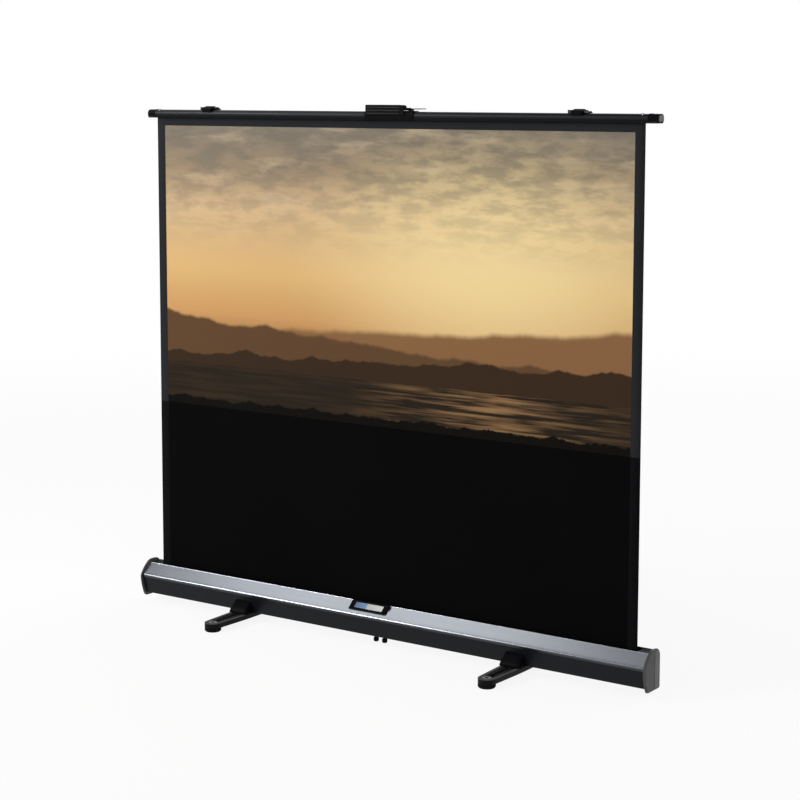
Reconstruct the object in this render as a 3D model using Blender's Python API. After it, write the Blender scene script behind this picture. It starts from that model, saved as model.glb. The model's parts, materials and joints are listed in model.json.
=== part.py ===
"""A portable projection screen that rises out of its own floor case.

A pair of folding arms behind the fabric lifts a top bar, which draws the fabric off a sprung
roller in the case. The case stands on two swivel feet and on a pair of stubs at its middle.

Units are metres. X runs along the case, the audience looks along +Y, Z points up, and the origin
is on the floor under the middle of the feet. The screen is modelled raised, as it stands in use.
"""

import math

import bmesh
import bpy
from mathutils import Matrix, Vector
from mathutils.geometry import intersect_line_line_2d

# Fits that every piece shares
TOUCH_GAP = 0.0003
RUN_GAP = 0.0005
CUT_OVERRUN = 0.004
ROUND_SIDES = 24
SMALL_ROUND_SIDES = 16
CORNER_STEPS = 4
SMOOTH_ANGLE = math.radians(35)

# Fabric
FABRIC_WIDTH = 1.836
FABRIC_THICKNESS = 0.0005
FABRIC_PLANE_Y = 0.010
WRAPPED_THICKNESS = 0.001

# Case extrusion, measured from its flat underside and from the middle of the feet
CASE_SIDE_MARGIN = 0.0536
GROUND_CLEARANCE = 0.0295
CASE_HEIGHT = 0.1005
CASE_WALL = 0.002
RIDGE_HEIGHT = 0.0628
RIDGE_REACH = 0.0437
FRONT_TOP_REACH = 0.0017
FRONT_BOTTOM_REACH = 0.0267
REAR_REACH = 0.048
REAR_BOTTOM_CHAMFER = 0.008
FASCIA_WALL = 0.0022
LEDGE_LENGTH = 0.008
GUIDE_SEAT_LENGTH = 0.0083
GUIDE_THICKNESS = 0.004

# End caps of the case
CAP_THICKNESS = 0.005
CAP_FRONT_PROUD = 0.006
CAP_REAR_PROUD = 0.002
CAP_TOP_PROUD = 0.010
CAP_DROP = 0.0115
CAP_FOOT_SETBACK = 0.0033
CAP_CREST_SETBACK = 0.0023
CAP_FRONT_RADIUS = 0.010
CAP_RIDGE_RADIUS = 0.006
CAP_CREST_RADIUS = 0.012
CAP_REAR_RADIUS = 0.026
CAP_HEEL_RADIUS = 0.006
PLUG_DEPTH = 0.006
PLUG_HEIGHT = 0.074
PLUG_FRONT_REACH = 0.020

# Sprung roller
ROLLER_RISE = 0.0365
ROLLER_RADIUS = 0.016
ROLLER_WALL = 0.0015
ROLLER_OVERHANG = 0.007
ROLLER_FLANGE_RADIUS = 0.0168
ROLLER_FLANGE_THICKNESS = 0.002
ROLLER_PLUG_DEPTH = 0.020
SPINDLE_RADIUS = 0.004
BUSH_RADIUS = 0.011
BUSH_LENGTH = 0.010
SPRING_SHAFT_LENGTH = 0.330
SPRING_COLLAR_RADIUS = 0.0115
SPRING_COLLAR_THICKNESS = 0.003
SPRING_RADIUS = 0.0085
SPRING_WIRE_RADIUS = 0.0011
SPRING_TURNS = 14
SPRING_STEPS_PER_TURN = 8

# Lift arms
ARM_LENGTH = 0.885
RAISED_ANGLE = math.radians(63.1)
ARM_WIDTH = 0.024
ARM_THICKNESS = 0.008
ARM_WALL = 0.0015
ARM_START = 0.026
ARM_SOLID_END = 0.024
UPPER_ARM_FRONT_Y = 0.0155
ARM_LAYER_GAP = 0.003
BASE_PIVOT_RISE = 0.0275
HUB_DROP = 0.028
PIN_RADIUS = 0.004
PIN_HEAD_RADIUS = 0.0075
PIN_HEAD_THICKNESS = 0.0015

# Toothed ends that keep the arms level with each other
TOOTH_MODULE = 0.002
TOOTH_COUNT = 22
TOOTH_ADDENDUM_SHARE = 0.8
TOOTH_DEDENDUM_SHARE = 1.1
TOOTH_SLACK_SHARE = 0.075
PRESSURE_ANGLE = math.radians(20)
TONGUE_LENGTH = 0.066

# Brackets that carry the arms
BRACKET_WALL = 0.002
BASE_BRACKET_HALF_LENGTH = 0.045
BASE_BRACKET_TOE = 0.012
BRACKET_EDGE = 0.010
HUB_HALF_LENGTH = 0.040
HUB_FLANGE_DEPTH = 0.020

# Top bar
BAR_SIDE_MARGIN = 0.0405
BAR_HEIGHT = 0.027
BAR_FRONT_Y = 0.005
BAR_DEPTH = 0.039
BAR_WALL = 0.0018
BAR_CORNER_RADIUS = 0.008
FABRIC_SLOT_WIDTH = 0.003
BATTEN_RADIUS = 0.00275
BAR_CAP_LENGTH = 0.033
BAR_CAP_WALL = 0.0012
BAR_CAP_END = 0.003
BAR_SCREW_INSET = 0.0515
BAR_SCREW_RADIUS = 0.002
BAR_SCREW_HEAD_RADIUS = 0.005
BAR_SCREW_HEAD_HEIGHT = 0.0025

# Slide latches on the top bar and their keepers on the back of the case
LATCH_INSET = 0.2746
LATCH_BASE_LENGTH = 0.070
LATCH_BASE_THICKNESS = 0.003
LATCH_SLIDER_LENGTH = 0.048
LATCH_SLIDER_HEIGHT = 0.0055
LATCH_TRAVEL = 0.012
LATCH_LEG_WIDTH = 0.020
LATCH_LEG_THICKNESS = 0.003
LATCH_LEG_DROP = 0.012
LATCH_TONGUE_HEIGHT = 0.004
LATCH_CLEARANCE = 0.0015
KEEPER_LENGTH = 0.0125
KEEPER_HEIGHT = 0.006
KEEPER_DEPTH = 0.0055

# Carry handle and release lever
SADDLE_LEFT_X = -0.057
SADDLE_RIGHT_X = 0.125
SADDLE_WALL = 0.0025
GRIP_LEFT_X = -0.051
GRIP_RIGHT_X = 0.094
GRIP_DEPTH = 0.014
GRIP_HEIGHT = 0.0165
GRIP_CORNER_RADIUS = 0.009
GRIP_SMALL_RADIUS = 0.0015
GRIP_ARM_WIDTH = 0.008
GRIP_ARM_HEIGHT = 0.008
GRIP_PIVOT_SETBACK = 0.006
GRIP_TRUNNION_RADIUS = 0.0025
EAR_THICKNESS = 0.004
LEVER_PIVOT_X = 0.104
LEVER_END_X = 0.155
LEVER_WIDTH = 0.016
LEVER_THICKNESS = 0.0025
LEVER_KNUCKLE_RADIUS = 0.0032
LEVER_RISE = 0.0012
LEVER_TRUNNION_RADIUS = 0.0013

# Swivel feet
FOOT_INSET = 0.4446
FOOT_PAD_REACH = 0.193
FOOT_PAD_RADIUS = 0.0275
FOOT_PAD_HEIGHT = 0.0127
FOOT_PAD_RIBS = 24
FOOT_PAD_RIB_DEPTH = 0.001
FOOT_WAIST_HALF_WIDTH = 0.033
FOOT_WAIST_REACH = 0.060
FOOT_RECESS_DEPTH = 0.0015
FOOT_RIM = 0.006
FOOT_SCREW_RADIUS = 0.005
FOOT_SCREW_DEPTH = 0.003
FOOT_BOLT_RADIUS = 0.005
FOOT_BOLT_HEAD_RADIUS = 0.010
FOOT_BOLT_HEAD_HEIGHT = 0.006
FOOT_COVER_REACH = 0.085
FOOT_COVER_HEIGHT = 0.0365
FOOT_COVER_NOSE_HEIGHT = 0.0065
FOOT_COVER_BROW = 0.006
FOOT_COVER_HALF_WIDTH = 0.049
FOOT_COVER_TOP_HALF_WIDTH = 0.037

# Stubs under the middle of the case
STUB_MIDDLE_X = -0.006
STUB_SPACING = 0.033
STUB_PLACE_Y = 0.018
STUB_RADIUS = 0.007
STUB_NECK_RADIUS = 0.0055
STUB_TIP_HEIGHT = 0.012

# Plate on the sloping front
PLATE_MIDDLE_X = -0.025
PLATE_LENGTH = 0.145
PLATE_WIDTH = 0.036
PLATE_THICKNESS = 0.003
PLATE_TOP_INSET = 0.0015
PLATE_EDGE = 0.001

# Sizes and places that follow from the sizes above
CASE_LENGTH = FABRIC_WIDTH + 2 * CASE_SIDE_MARGIN
BAR_LENGTH = FABRIC_WIDTH + 2 * BAR_SIDE_MARGIN
LATCH_PLACE_X = CASE_LENGTH / 2 - LATCH_INSET
FOOT_PLACE_X = CASE_LENGTH / 2 - FOOT_INSET
CASE_TOP_Z = GROUND_CLEARANCE + CASE_HEIGHT
CASE_FLOOR_Z = GROUND_CLEARANCE + CASE_WALL
CAP_INNER_X = CASE_LENGTH / 2 - CAP_THICKNESS
EXTRUSION_HALF_LENGTH = CAP_INNER_X - TOUCH_GAP
ROLL_RADIUS = ROLLER_RADIUS + TOUCH_GAP + WRAPPED_THICKNESS
ROLLER_Y = FABRIC_PLANE_Y - FABRIC_THICKNESS / 2 - TOUCH_GAP - ROLL_RADIUS
ROLLER_Z = GROUND_CLEARANCE + ROLLER_RISE
ROLLER_HALF_LENGTH = FABRIC_WIDTH / 2 + ROLLER_OVERHANG
LOWER_ARM_FRONT_Y = UPPER_ARM_FRONT_Y + ARM_THICKNESS + ARM_LAYER_GAP
PIVOT_X = TOOTH_MODULE * TOOTH_COUNT / 2
BASE_PIVOT_Z = GROUND_CLEARANCE + BASE_PIVOT_RISE
ARM_RISE = 2 * ARM_LENGTH * math.sin(RAISED_ANGLE)
HUB_PIVOT_Z = BASE_PIVOT_Z + ARM_RISE
BAR_BOTTOM_Z = HUB_PIVOT_Z + HUB_DROP
BAR_TOP_Z = BAR_BOTTOM_Z + BAR_HEIGHT
BAR_REAR_Y = BAR_FRONT_Y + BAR_DEPTH
ELBOW_X = PIVOT_X + ARM_LENGTH * math.cos(RAISED_ANGLE)
ELBOW_Z = BASE_PIVOT_Z + ARM_RISE / 2
FOLDED_ANGLE = math.asin((CASE_TOP_Z + RUN_GAP - HUB_DROP - BASE_PIVOT_Z) / (2 * ARM_LENGTH))
BORE_RADIUS = PIN_RADIUS + TOUCH_GAP

AXIS_FRAMES = {
    "X": (Vector((1, 0, 0)), Vector((0, 1, 0)), Vector((0, 0, 1))),
    "Y": (Vector((0, 1, 0)), Vector((1, 0, 0)), Vector((0, 0, 1))),
    "Z": (Vector((0, 0, 1)), Vector((1, 0, 0)), Vector((0, 1, 0))),
}


def clear_scene():
    for item in list(bpy.data.objects):
        bpy.data.objects.remove(item, do_unlink=True)


def make_finish(name, colour, roughness, metallic):
    """A plain surface of one colour."""
    finish = bpy.data.materials.new(name)
    finish.use_nodes = True
    shader = finish.node_tree.nodes["Principled BSDF"]
    shader.inputs["Base Color"].default_value = (*colour, 1)
    shader.inputs["Roughness"].default_value = roughness
    shader.inputs["Metallic"].default_value = metallic
    return finish


def make_finishes():
    return {
        "dark_metal": make_finish("dark_metal", (0.045, 0.047, 0.052), 0.38, 0.8),
        "silver_metal": make_finish("silver_metal", (0.50, 0.53, 0.57), 0.30, 0.9),
        "black_plastic": make_finish("black_plastic", (0.02, 0.02, 0.022), 0.45, 0.0),
        "grey_plastic": make_finish("grey_plastic", (0.10, 0.10, 0.10), 0.5, 0.0),
        "rubber": make_finish("rubber", (0.015, 0.015, 0.015), 0.8, 0.0),
        "bright_metal": make_finish("bright_metal", (0.62, 0.63, 0.65), 0.3, 1.0),
        "steel": make_finish("steel", (0.45, 0.45, 0.46), 0.35, 1.0),
        "fabric": make_finish("fabric", (0.03, 0.03, 0.03), 0.9, 0.0),
    }


def holder(name, location, turn=0.0):
    """An empty on a joint's axis, which carries the pieces of one moving group; turn is about Y."""
    empty = bpy.data.objects.new(name, None)
    empty.location = location
    empty.rotation_euler = (0, turn, 0)
    bpy.context.collection.objects.link(empty)
    return empty


def add_piece(name, solid, finish, carrier=None, local=False):
    """Makes an object of a mesh in progress. Local pieces are drawn in their carrier's own frame."""
    bmesh.ops.recalc_face_normals(solid, faces=solid.faces)
    shape = bpy.data.meshes.new(name)
    solid.to_mesh(shape)
    solid.free()
    piece = bpy.data.objects.new(name, shape)
    bpy.context.collection.objects.link(piece)
    if finish:
        shape.materials.append(finish)
    if carrier:
        piece.parent = carrier
    if carrier and not local:
        piece.matrix_parent_inverse = Matrix.Translation(carrier.location).inverted()
    return piece


def smooth(piece):
    piece.data.shade_smooth()
    piece.data.set_sharp_from_angle(angle=SMOOTH_ANGLE)
    return piece


def combine(piece, other, operation):
    """Adds or cuts another shape, which stays in the file as a guide that isn't shown."""
    other.display_type = "WIRE"
    other.hide_render = True
    step = piece.modifiers.new(operation.lower(), "BOOLEAN")
    step.operation = operation
    step.solver = "EXACT"
    step.object = other
    return piece


def outline_point(axis, first, second, along):
    direction, side, up = AXIS_FRAMES[axis]
    return direction * along + side * first + up * second


def prism(outline, axis, low, high):
    """An outline in the plane square to an axis, run from low to high along it."""
    solid = bmesh.new()
    near = [solid.verts.new(outline_point(axis, a, b, low)) for a, b in outline]
    far = [solid.verts.new(outline_point(axis, a, b, high)) for a, b in outline]
    solid.faces.new(near)
    solid.faces.new(far)
    for place in range(len(outline)):
        after = (place + 1) % len(outline)
        solid.faces.new((near[place], near[after], far[after], far[place]))
    return solid


def block(low, high):
    corners = [(low[0], low[1]), (high[0], low[1]), (high[0], high[1]), (low[0], high[1])]
    return prism(corners, "Z", low[2], high[2])


def turned(centre, axis, profile, sides=ROUND_SIDES):
    """A round solid. The profile lists (radius, place along the axis), and closes on itself
    where its ends stand off the axis."""
    solid = bmesh.new()
    direction, side, up = AXIS_FRAMES[axis]
    rings = []
    for radius, along in profile:
        middle = Vector(centre) + direction * along
        if radius == 0:
            rings.append([solid.verts.new(middle)])
            continue
        turns = [2 * math.pi * step / sides for step in range(sides)]
        rings.append([solid.verts.new(middle + radius * (side * math.cos(t) + up * math.sin(t)))
                      for t in turns])
    pairs = list(zip(rings, rings[1:]))
    if len(rings[0]) > 1:
        pairs.append((rings[-1], rings[0]))
    for near, far in pairs:
        for step in range(sides):
            after = (step + 1) % sides
            corners = [near[step % len(near)], near[after % len(near)],
                       far[after % len(far)], far[step % len(far)]]
            solid.faces.new(list(dict.fromkeys(corners)))
    return solid


def tube_profile(inner, outer, low, high):
    return [(inner, low), (outer, low), (outer, high), (inner, high)]


def rod_profile(radius, low, high):
    return [(0, low), (radius, low), (radius, high), (0, high)]


def arc_points(centre, radius, start, end, steps):
    """Points along an arc, both ends among them; angles run from the first axis to the second."""
    points = []
    for step in range(steps + 1):
        angle = start + (end - start) * step / steps
        points.append((centre[0] + radius * math.cos(angle), centre[1] + radius * math.sin(angle)))
    return points


def rounded_outline(corners, radii, steps=CORNER_STEPS):
    """A closed outline whose corners are rounded, each by its own radius; zero keeps it sharp."""
    points = []
    for place, (corner, radius) in enumerate(zip(corners, radii)):
        here = Vector(corner)
        back = (Vector(corners[place - 1]) - here).normalized()
        ahead = (Vector(corners[(place + 1) % len(corners)]) - here).normalized()
        if radius == 0:
            points.append((here.x, here.y))
            continue
        half = back.angle(ahead) / 2
        centre = here + (back + ahead).normalized() * radius / math.sin(half)
        first = here + back * radius / math.tan(half) - centre
        last = here + ahead * radius / math.tan(half) - centre
        start = math.atan2(first.y, first.x)
        sweep = math.remainder(math.atan2(last.y, last.x) - start, 2 * math.pi)
        points.extend(arc_points(centre, radius, start, start + sweep, steps))
    return points


def thin_wall(path, wall):
    """A closed outline of even thickness that follows an open path, laid on its left side."""
    spots = [Vector(point) for point in path]
    inner = []
    for place, spot in enumerate(spots):
        sides = []
        if place > 0:
            sides.append((spot - spots[place - 1]).normalized())
        if place < len(spots) - 1:
            sides.append((spots[place + 1] - spot).normalized())
        normals = [Vector((-way.y, way.x)) for way in sides]
        mitre = sum(normals, Vector((0, 0))).normalized()
        inner.append(spot + mitre * wall / mitre.dot(normals[0]))
    return [(p.x, p.y) for p in spots] + [(p.x, p.y) for p in reversed(inner)]


def facet_frame():
    """The top edge and ridge of the sloping front, its uphill direction and the way inside."""
    top = Vector((-FRONT_TOP_REACH, CASE_TOP_Z))
    ridge = Vector((-RIDGE_REACH, GROUND_CLEARANCE + RIDGE_HEIGHT))
    uphill = (top - ridge).normalized()
    inside = Vector((uphill.y, -uphill.x))
    return top, ridge, uphill, inside


def lower_front_y(height):
    """Where the lower front wall's outer face stands, at a height above the floor."""
    share = (height - GROUND_CLEARANCE) / RIDGE_HEIGHT
    return -(FRONT_BOTTOM_REACH + (RIDGE_REACH - FRONT_BOTTOM_REACH) * share)


def build_case_body(finishes):
    """The dark extrusion: ledge under the fascia, lower front, floor and rear wall."""
    top, ridge, uphill, inside = facet_frame()
    start = ridge + inside * (FASCIA_WALL + TOUCH_GAP)
    ledge = start + uphill * LEDGE_LENGTH
    toe = Vector((-FRONT_BOTTOM_REACH, GROUND_CLEARANCE))
    corner = intersect_line_line_2d(start - uphill * LEDGE_LENGTH, ledge, toe, ridge)
    path = [ledge, corner, toe,
            (REAR_REACH - REAR_BOTTOM_CHAMFER, GROUND_CLEARANCE),
            (REAR_REACH, GROUND_CLEARANCE + REAR_BOTTOM_CHAMFER),
            (REAR_REACH, CASE_TOP_Z)]
    outline = thin_wall(path, CASE_WALL)
    body = add_piece("case_body", prism(outline, "X", -EXTRUSION_HALF_LENGTH, EXTRUSION_HALF_LENGTH),
                     finishes["dark_metal"])
    for side in (-1, 1):
        hole = turned((side * FOOT_PLACE_X, 0, 0), "Z",
                      rod_profile(FOOT_BOLT_RADIUS + TOUCH_GAP, GROUND_CLEARANCE - CUT_OVERRUN,
                                  CASE_FLOOR_Z + CUT_OVERRUN), SMALL_ROUND_SIDES)
        combine(body, add_piece("cutter_foot_hole", hole, None), "DIFFERENCE")
    return body


def build_front_fascia(finishes):
    top, ridge, uphill, inside = facet_frame()
    corners = [top, ridge, ridge + inside * FASCIA_WALL, top + inside * FASCIA_WALL]
    outline = [(p.x, p.y) for p in corners]
    return add_piece("front_fascia", prism(outline, "X", -EXTRUSION_HALF_LENGTH, EXTRUSION_HALF_LENGTH),
                     finishes["silver_metal"])


def build_slot_guide(finishes):
    """The black strip behind the fascia's top edge. The lowering bar and its saddle pass close behind it."""
    top, ridge, uphill, inside = facet_frame()
    crest = top + inside * (FASCIA_WALL + TOUCH_GAP)
    heel = crest - uphill * GUIDE_SEAT_LENGTH
    rear_y = BAR_FRONT_Y - TOUCH_GAP - SADDLE_WALL - RUN_GAP
    outline = [(heel.x, heel.y), (rear_y, crest.y - GUIDE_THICKNESS), (rear_y, crest.y), (crest.x, crest.y)]
    return add_piece("slot_guide", prism(outline, "X", -EXTRUSION_HALF_LENGTH, EXTRUSION_HALF_LENGTH),
                     finishes["black_plastic"])


def build_end_cap(side, name, finishes):
    """The end plate, which stands proud of the extrusions all round, and its plug inside them."""
    corners = [(-(FRONT_BOTTOM_REACH + CAP_FOOT_SETBACK), GROUND_CLEARANCE - CAP_DROP),
               (REAR_REACH + CAP_REAR_PROUD, GROUND_CLEARANCE - CAP_DROP),
               (REAR_REACH + CAP_REAR_PROUD, CASE_TOP_Z + CAP_TOP_PROUD),
               (-(FRONT_TOP_REACH + CAP_CREST_SETBACK), CASE_TOP_Z + CAP_TOP_PROUD),
               (-(RIDGE_REACH + CAP_FRONT_PROUD), GROUND_CLEARANCE + RIDGE_HEIGHT)]
    radii = [CAP_FRONT_RADIUS, CAP_HEEL_RADIUS, CAP_REAR_RADIUS, CAP_CREST_RADIUS, CAP_RIDGE_RADIUS]
    low, high = sorted((side * CAP_INNER_X, side * CASE_LENGTH / 2))
    cap = add_piece(name, prism(rounded_outline(corners, radii), "X", low, high), finishes["grey_plastic"])
    plug_low, plug_high = sorted((side * (CAP_INNER_X - PLUG_DEPTH), side * (CAP_INNER_X + CAP_THICKNESS / 2)))
    plug = block((plug_low, -PLUG_FRONT_REACH, CASE_FLOOR_Z + TOUCH_GAP),
                 (plug_high, REAR_REACH - CASE_WALL - REAR_BOTTOM_CHAMFER, CASE_FLOOR_Z + PLUG_HEIGHT))
    return combine(cap, add_piece("guide_" + name, plug, None), "UNION")


def build_roller(finishes):
    """The tube on its hinge line, its plugs and the fabric still wrapped on it."""
    carrier = holder("roller_axis", (0, ROLLER_Y, ROLLER_Z))
    centre = (0, ROLLER_Y, ROLLER_Z)
    half = ROLLER_HALF_LENGTH
    tube = turned(centre, "X", tube_profile(ROLLER_RADIUS - ROLLER_WALL, ROLLER_RADIUS, -half, half))
    smooth(add_piece("roller_tube", tube, finishes["bright_metal"], carrier))
    wrap = turned(centre, "X", tube_profile(ROLLER_RADIUS + TOUCH_GAP, ROLL_RADIUS,
                                            -FABRIC_WIDTH / 2, FABRIC_WIDTH / 2))
    smooth(add_piece("fabric_roll", wrap, finishes["fabric"], carrier))
    plug_radius = ROLLER_RADIUS - ROLLER_WALL - TOUCH_GAP
    flange = half + TOUCH_GAP
    face = flange + ROLLER_FLANGE_THICKNESS
    spindle_end = CAP_INNER_X - PLUG_DEPTH - TOUCH_GAP - RUN_GAP
    solid_plug = [(0, half - ROLLER_PLUG_DEPTH), (plug_radius, half - ROLLER_PLUG_DEPTH),
                  (plug_radius, flange), (ROLLER_FLANGE_RADIUS, flange), (ROLLER_FLANGE_RADIUS, face),
                  (SPINDLE_RADIUS, face), (SPINDLE_RADIUS, spindle_end), (0, spindle_end)]
    smooth(add_piece("roller_plug_right", turned(centre, "X", solid_plug), finishes["black_plastic"], carrier))
    bore = SPINDLE_RADIUS + TOUCH_GAP
    open_plug = [(bore, ROLLER_PLUG_DEPTH - half), (plug_radius, ROLLER_PLUG_DEPTH - half),
                 (plug_radius, -flange), (ROLLER_FLANGE_RADIUS, -flange), (ROLLER_FLANGE_RADIUS, -face),
                 (bore, -face)]
    smooth(add_piece("roller_plug_left", turned(centre, "X", open_plug), finishes["black_plastic"], carrier))


def build_roller_seats(finishes):
    """The bushes on the end caps, and the fixed shaft and spring inside the roller's left end."""
    centre = (0, ROLLER_Y, ROLLER_Z)
    face = CAP_INNER_X - PLUG_DEPTH - TOUCH_GAP
    for side, name in ((-1, "roller_bush_left"), (1, "roller_bush_right")):
        profile = tube_profile(SPINDLE_RADIUS + TOUCH_GAP, BUSH_RADIUS, side * face, side * (face - BUSH_LENGTH))
        smooth(add_piece(name, turned(centre, "X", profile), finishes["black_plastic"]))
    start = -(face - RUN_GAP)
    end = start + SPRING_SHAFT_LENGTH
    collar = end - SPRING_COLLAR_THICKNESS
    shaft = [(0, start), (SPINDLE_RADIUS, start), (SPINDLE_RADIUS, collar),
             (SPRING_COLLAR_RADIUS, collar), (SPRING_COLLAR_RADIUS, end), (0, end)]
    smooth(add_piece("spring_shaft", turned(centre, "X", shaft, SMALL_ROUND_SIDES), finishes["steel"]))
    first = ROLLER_PLUG_DEPTH - ROLLER_HALF_LENGTH + TOUCH_GAP + SPRING_WIRE_RADIUS
    last = collar - TOUCH_GAP - SPRING_WIRE_RADIUS
    steps = SPRING_TURNS * SPRING_STEPS_PER_TURN
    points = []
    for step in range(steps + 1):
        turn = 2 * math.pi * step / SPRING_STEPS_PER_TURN
        points.append((first + (last - first) * step / steps,
                       ROLLER_Y + SPRING_RADIUS * math.cos(turn),
                       ROLLER_Z + SPRING_RADIUS * math.sin(turn)))
    build_wire("roller_spring", points, SPRING_WIRE_RADIUS, finishes["steel"])


def build_wire(name, points, radius, finish):
    """Round wire along a list of points, with closed ends."""
    line = bpy.data.curves.new(name, "CURVE")
    line.dimensions = "3D"
    line.bevel_depth = radius
    line.bevel_resolution = 1
    line.use_fill_caps = True
    run = line.splines.new("POLY")
    run.points.add(len(points) - 1)
    for spot, point in zip(run.points, points):
        spot.co = (*point, 1)
    line.materials.append(finish)
    wire = bpy.data.objects.new(name, line)
    bpy.context.collection.objects.link(wire)
    return wire


def build_fabric(finishes, bar_carrier):
    """The stretched sheet, from its tangent on the roller to the batten inside the top bar."""
    batten_z = BAR_BOTTOM_Z + BAR_WALL + TOUCH_GAP
    batten_z += math.sqrt(BATTEN_RADIUS ** 2 - (FABRIC_SLOT_WIDTH / 2) ** 2)
    sheet = block((-FABRIC_WIDTH / 2, FABRIC_PLANE_Y - FABRIC_THICKNESS / 2, ROLLER_Z),
                  (FABRIC_WIDTH / 2, FABRIC_PLANE_Y + FABRIC_THICKNESS / 2, batten_z - BATTEN_RADIUS - TOUCH_GAP))
    add_piece("fabric_sheet", sheet, finishes["fabric"])
    batten = turned((0, FABRIC_PLANE_Y, batten_z), "X",
                    rod_profile(BATTEN_RADIUS, -FABRIC_WIDTH / 2, FABRIC_WIDTH / 2), SMALL_ROUND_SIDES)
    smooth(add_piece("fabric_batten", batten, finishes["bright_metal"], bar_carrier))
    return batten_z


def involute(angle):
    return math.tan(angle) - angle


def gear_outline(teeth):
    """A toothed hub seen along its pin, with teeth at the given angles and a tongue along the
    first axis that slides into the arm."""
    pitch = TOOTH_MODULE * TOOTH_COUNT / 2
    base = pitch * math.cos(PRESSURE_ANGLE)
    root = pitch - TOOTH_DEDENDUM_SHARE * TOOTH_MODULE
    tip = pitch + TOOTH_ADDENDUM_SHARE * TOOTH_MODULE
    half_at_pitch = math.pi / (2 * TOOTH_COUNT) - TOOTH_SLACK_SHARE * TOOTH_MODULE / pitch
    flank = []
    for radius in (root, base, (base + pitch) / 2, pitch, (pitch + tip) / 2, tip):
        pressure = math.acos(min(1, base / radius))
        flank.append((radius, half_at_pitch + involute(PRESSURE_ANGLE) - involute(pressure)))
    tongue = ARM_WIDTH / 2 - ARM_WALL - TOUCH_GAP
    mouth = math.asin(tongue / root)
    points = [(TONGUE_LENGTH, -tongue), (TONGUE_LENGTH, tongue)]
    angle = mouth
    arcs = []
    for centre in sorted(teeth):
        arcs.append((angle, centre - flank[0][1], centre))
        angle = centre + flank[0][1]
    for start, end, centre in arcs:
        steps = max(1, round((end - start) / math.radians(20)))
        points.extend(arc_points((0, 0), root, start, end, steps)[:-1])
        points.extend((r * math.cos(centre - h), r * math.sin(centre - h)) for r, h in flank)
        points.extend((r * math.cos(centre + h), r * math.sin(centre + h)) for r, h in reversed(flank[1:]))
    closing = round((2 * math.pi - mouth - angle) / math.radians(20))
    points.extend(arc_points((0, 0), root, angle, 2 * math.pi - mouth, closing))
    return points


def tooth_angles(mirrored):
    """Where the teeth stand, so that they mesh from the raised to the folded arms. The mirrored
    hub has its teeth half a pitch on, opposite the other's gaps."""
    pitch = 2 * math.pi / TOOTH_COUNT
    count = math.ceil((RAISED_ANGLE - FOLDED_ANGLE) / pitch) + 2
    if mirrored:
        return [math.pi + RAISED_ANGLE + pitch / 2 - pitch * step for step in range(count)]
    return [math.pi - RAISED_ANGLE + pitch * (step - 1) for step in range(count)]


def build_gear(name, arm_front, at_far_end, mirrored, finishes, carrier):
    """A toothed hub on its pin, centred in the thickness of the arm that it slides into."""
    outline = gear_outline(tooth_angles(mirrored))
    centre = 0
    if at_far_end:
        outline = [(ARM_LENGTH - x, -z) for x, z in outline]
        centre = ARM_LENGTH
    half = ARM_THICKNESS / 2 - ARM_WALL - TOUCH_GAP
    middle = arm_front + ARM_THICKNESS / 2
    gear = add_piece(name, prism(outline, "Y", middle - half, middle + half), finishes["black_plastic"],
                     carrier, local=True)
    bore = turned((centre, middle, 0), "Y",
                  rod_profile(BORE_RADIUS, -half - CUT_OVERRUN, half + CUT_OVERRUN), SMALL_ROUND_SIDES)
    return combine(gear, add_piece("cutter_" + name, bore, None, carrier, local=True), "DIFFERENCE")


def build_arm(name, arm_front, elbow_at_far_end, finishes, carrier):
    """A flat tube, open where its toothed hub slides in, solid and rounded at the elbow."""
    half = ARM_WIDTH / 2
    elbow = ARM_LENGTH if elbow_at_far_end else 0
    way = 1 if elbow_at_far_end else -1
    start = elbow - way * (ARM_LENGTH - ARM_START)
    end_arc = arc_points((elbow, 0), half, -way * math.pi / 2, way * math.pi / 2, 2 * CORNER_STEPS)
    outline = [(start, way * half), (start, -way * half)] + end_arc
    arm = add_piece(name, prism(outline, "Y", arm_front, arm_front + ARM_THICKNESS), finishes["bright_metal"],
                    carrier, local=True)
    low, high = sorted((start - way * CUT_OVERRUN, elbow - way * ARM_SOLID_END))
    bore = block((low, arm_front + ARM_WALL, -half + ARM_WALL),
                 (high, arm_front + ARM_THICKNESS - ARM_WALL, half - ARM_WALL))
    combine(arm, add_piece("cutter_bore_" + name, bore, None, carrier, local=True), "DIFFERENCE")
    hole = turned((elbow, arm_front, 0), "Y",
                  rod_profile(BORE_RADIUS, -CUT_OVERRUN, ARM_THICKNESS + CUT_OVERRUN), SMALL_ROUND_SIDES)
    combine(arm, add_piece("cutter_hole_" + name, hole, None, carrier, local=True), "DIFFERENCE")
    return arm


def pin_profile(front_y, rear_y):
    """A headed pin that runs from the front face to the rear face of what it joins."""
    front = front_y - TOUCH_GAP
    rear = rear_y + TOUCH_GAP
    return [(0, front - PIN_HEAD_THICKNESS), (PIN_HEAD_RADIUS, front - PIN_HEAD_THICKNESS),
            (PIN_HEAD_RADIUS, front), (PIN_RADIUS, front), (PIN_RADIUS, rear), (PIN_HEAD_RADIUS, rear),
            (PIN_HEAD_RADIUS, rear + PIN_HEAD_THICKNESS), (0, rear + PIN_HEAD_THICKNESS)]


def build_pin(name, x, z, front_y, rear_y, finishes, carrier=None, local=False):
    pin = turned((x, 0, z), "Y", pin_profile(front_y, rear_y), SMALL_ROUND_SIDES)
    return smooth(add_piece(name, pin, finishes["steel"], carrier, local))


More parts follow.
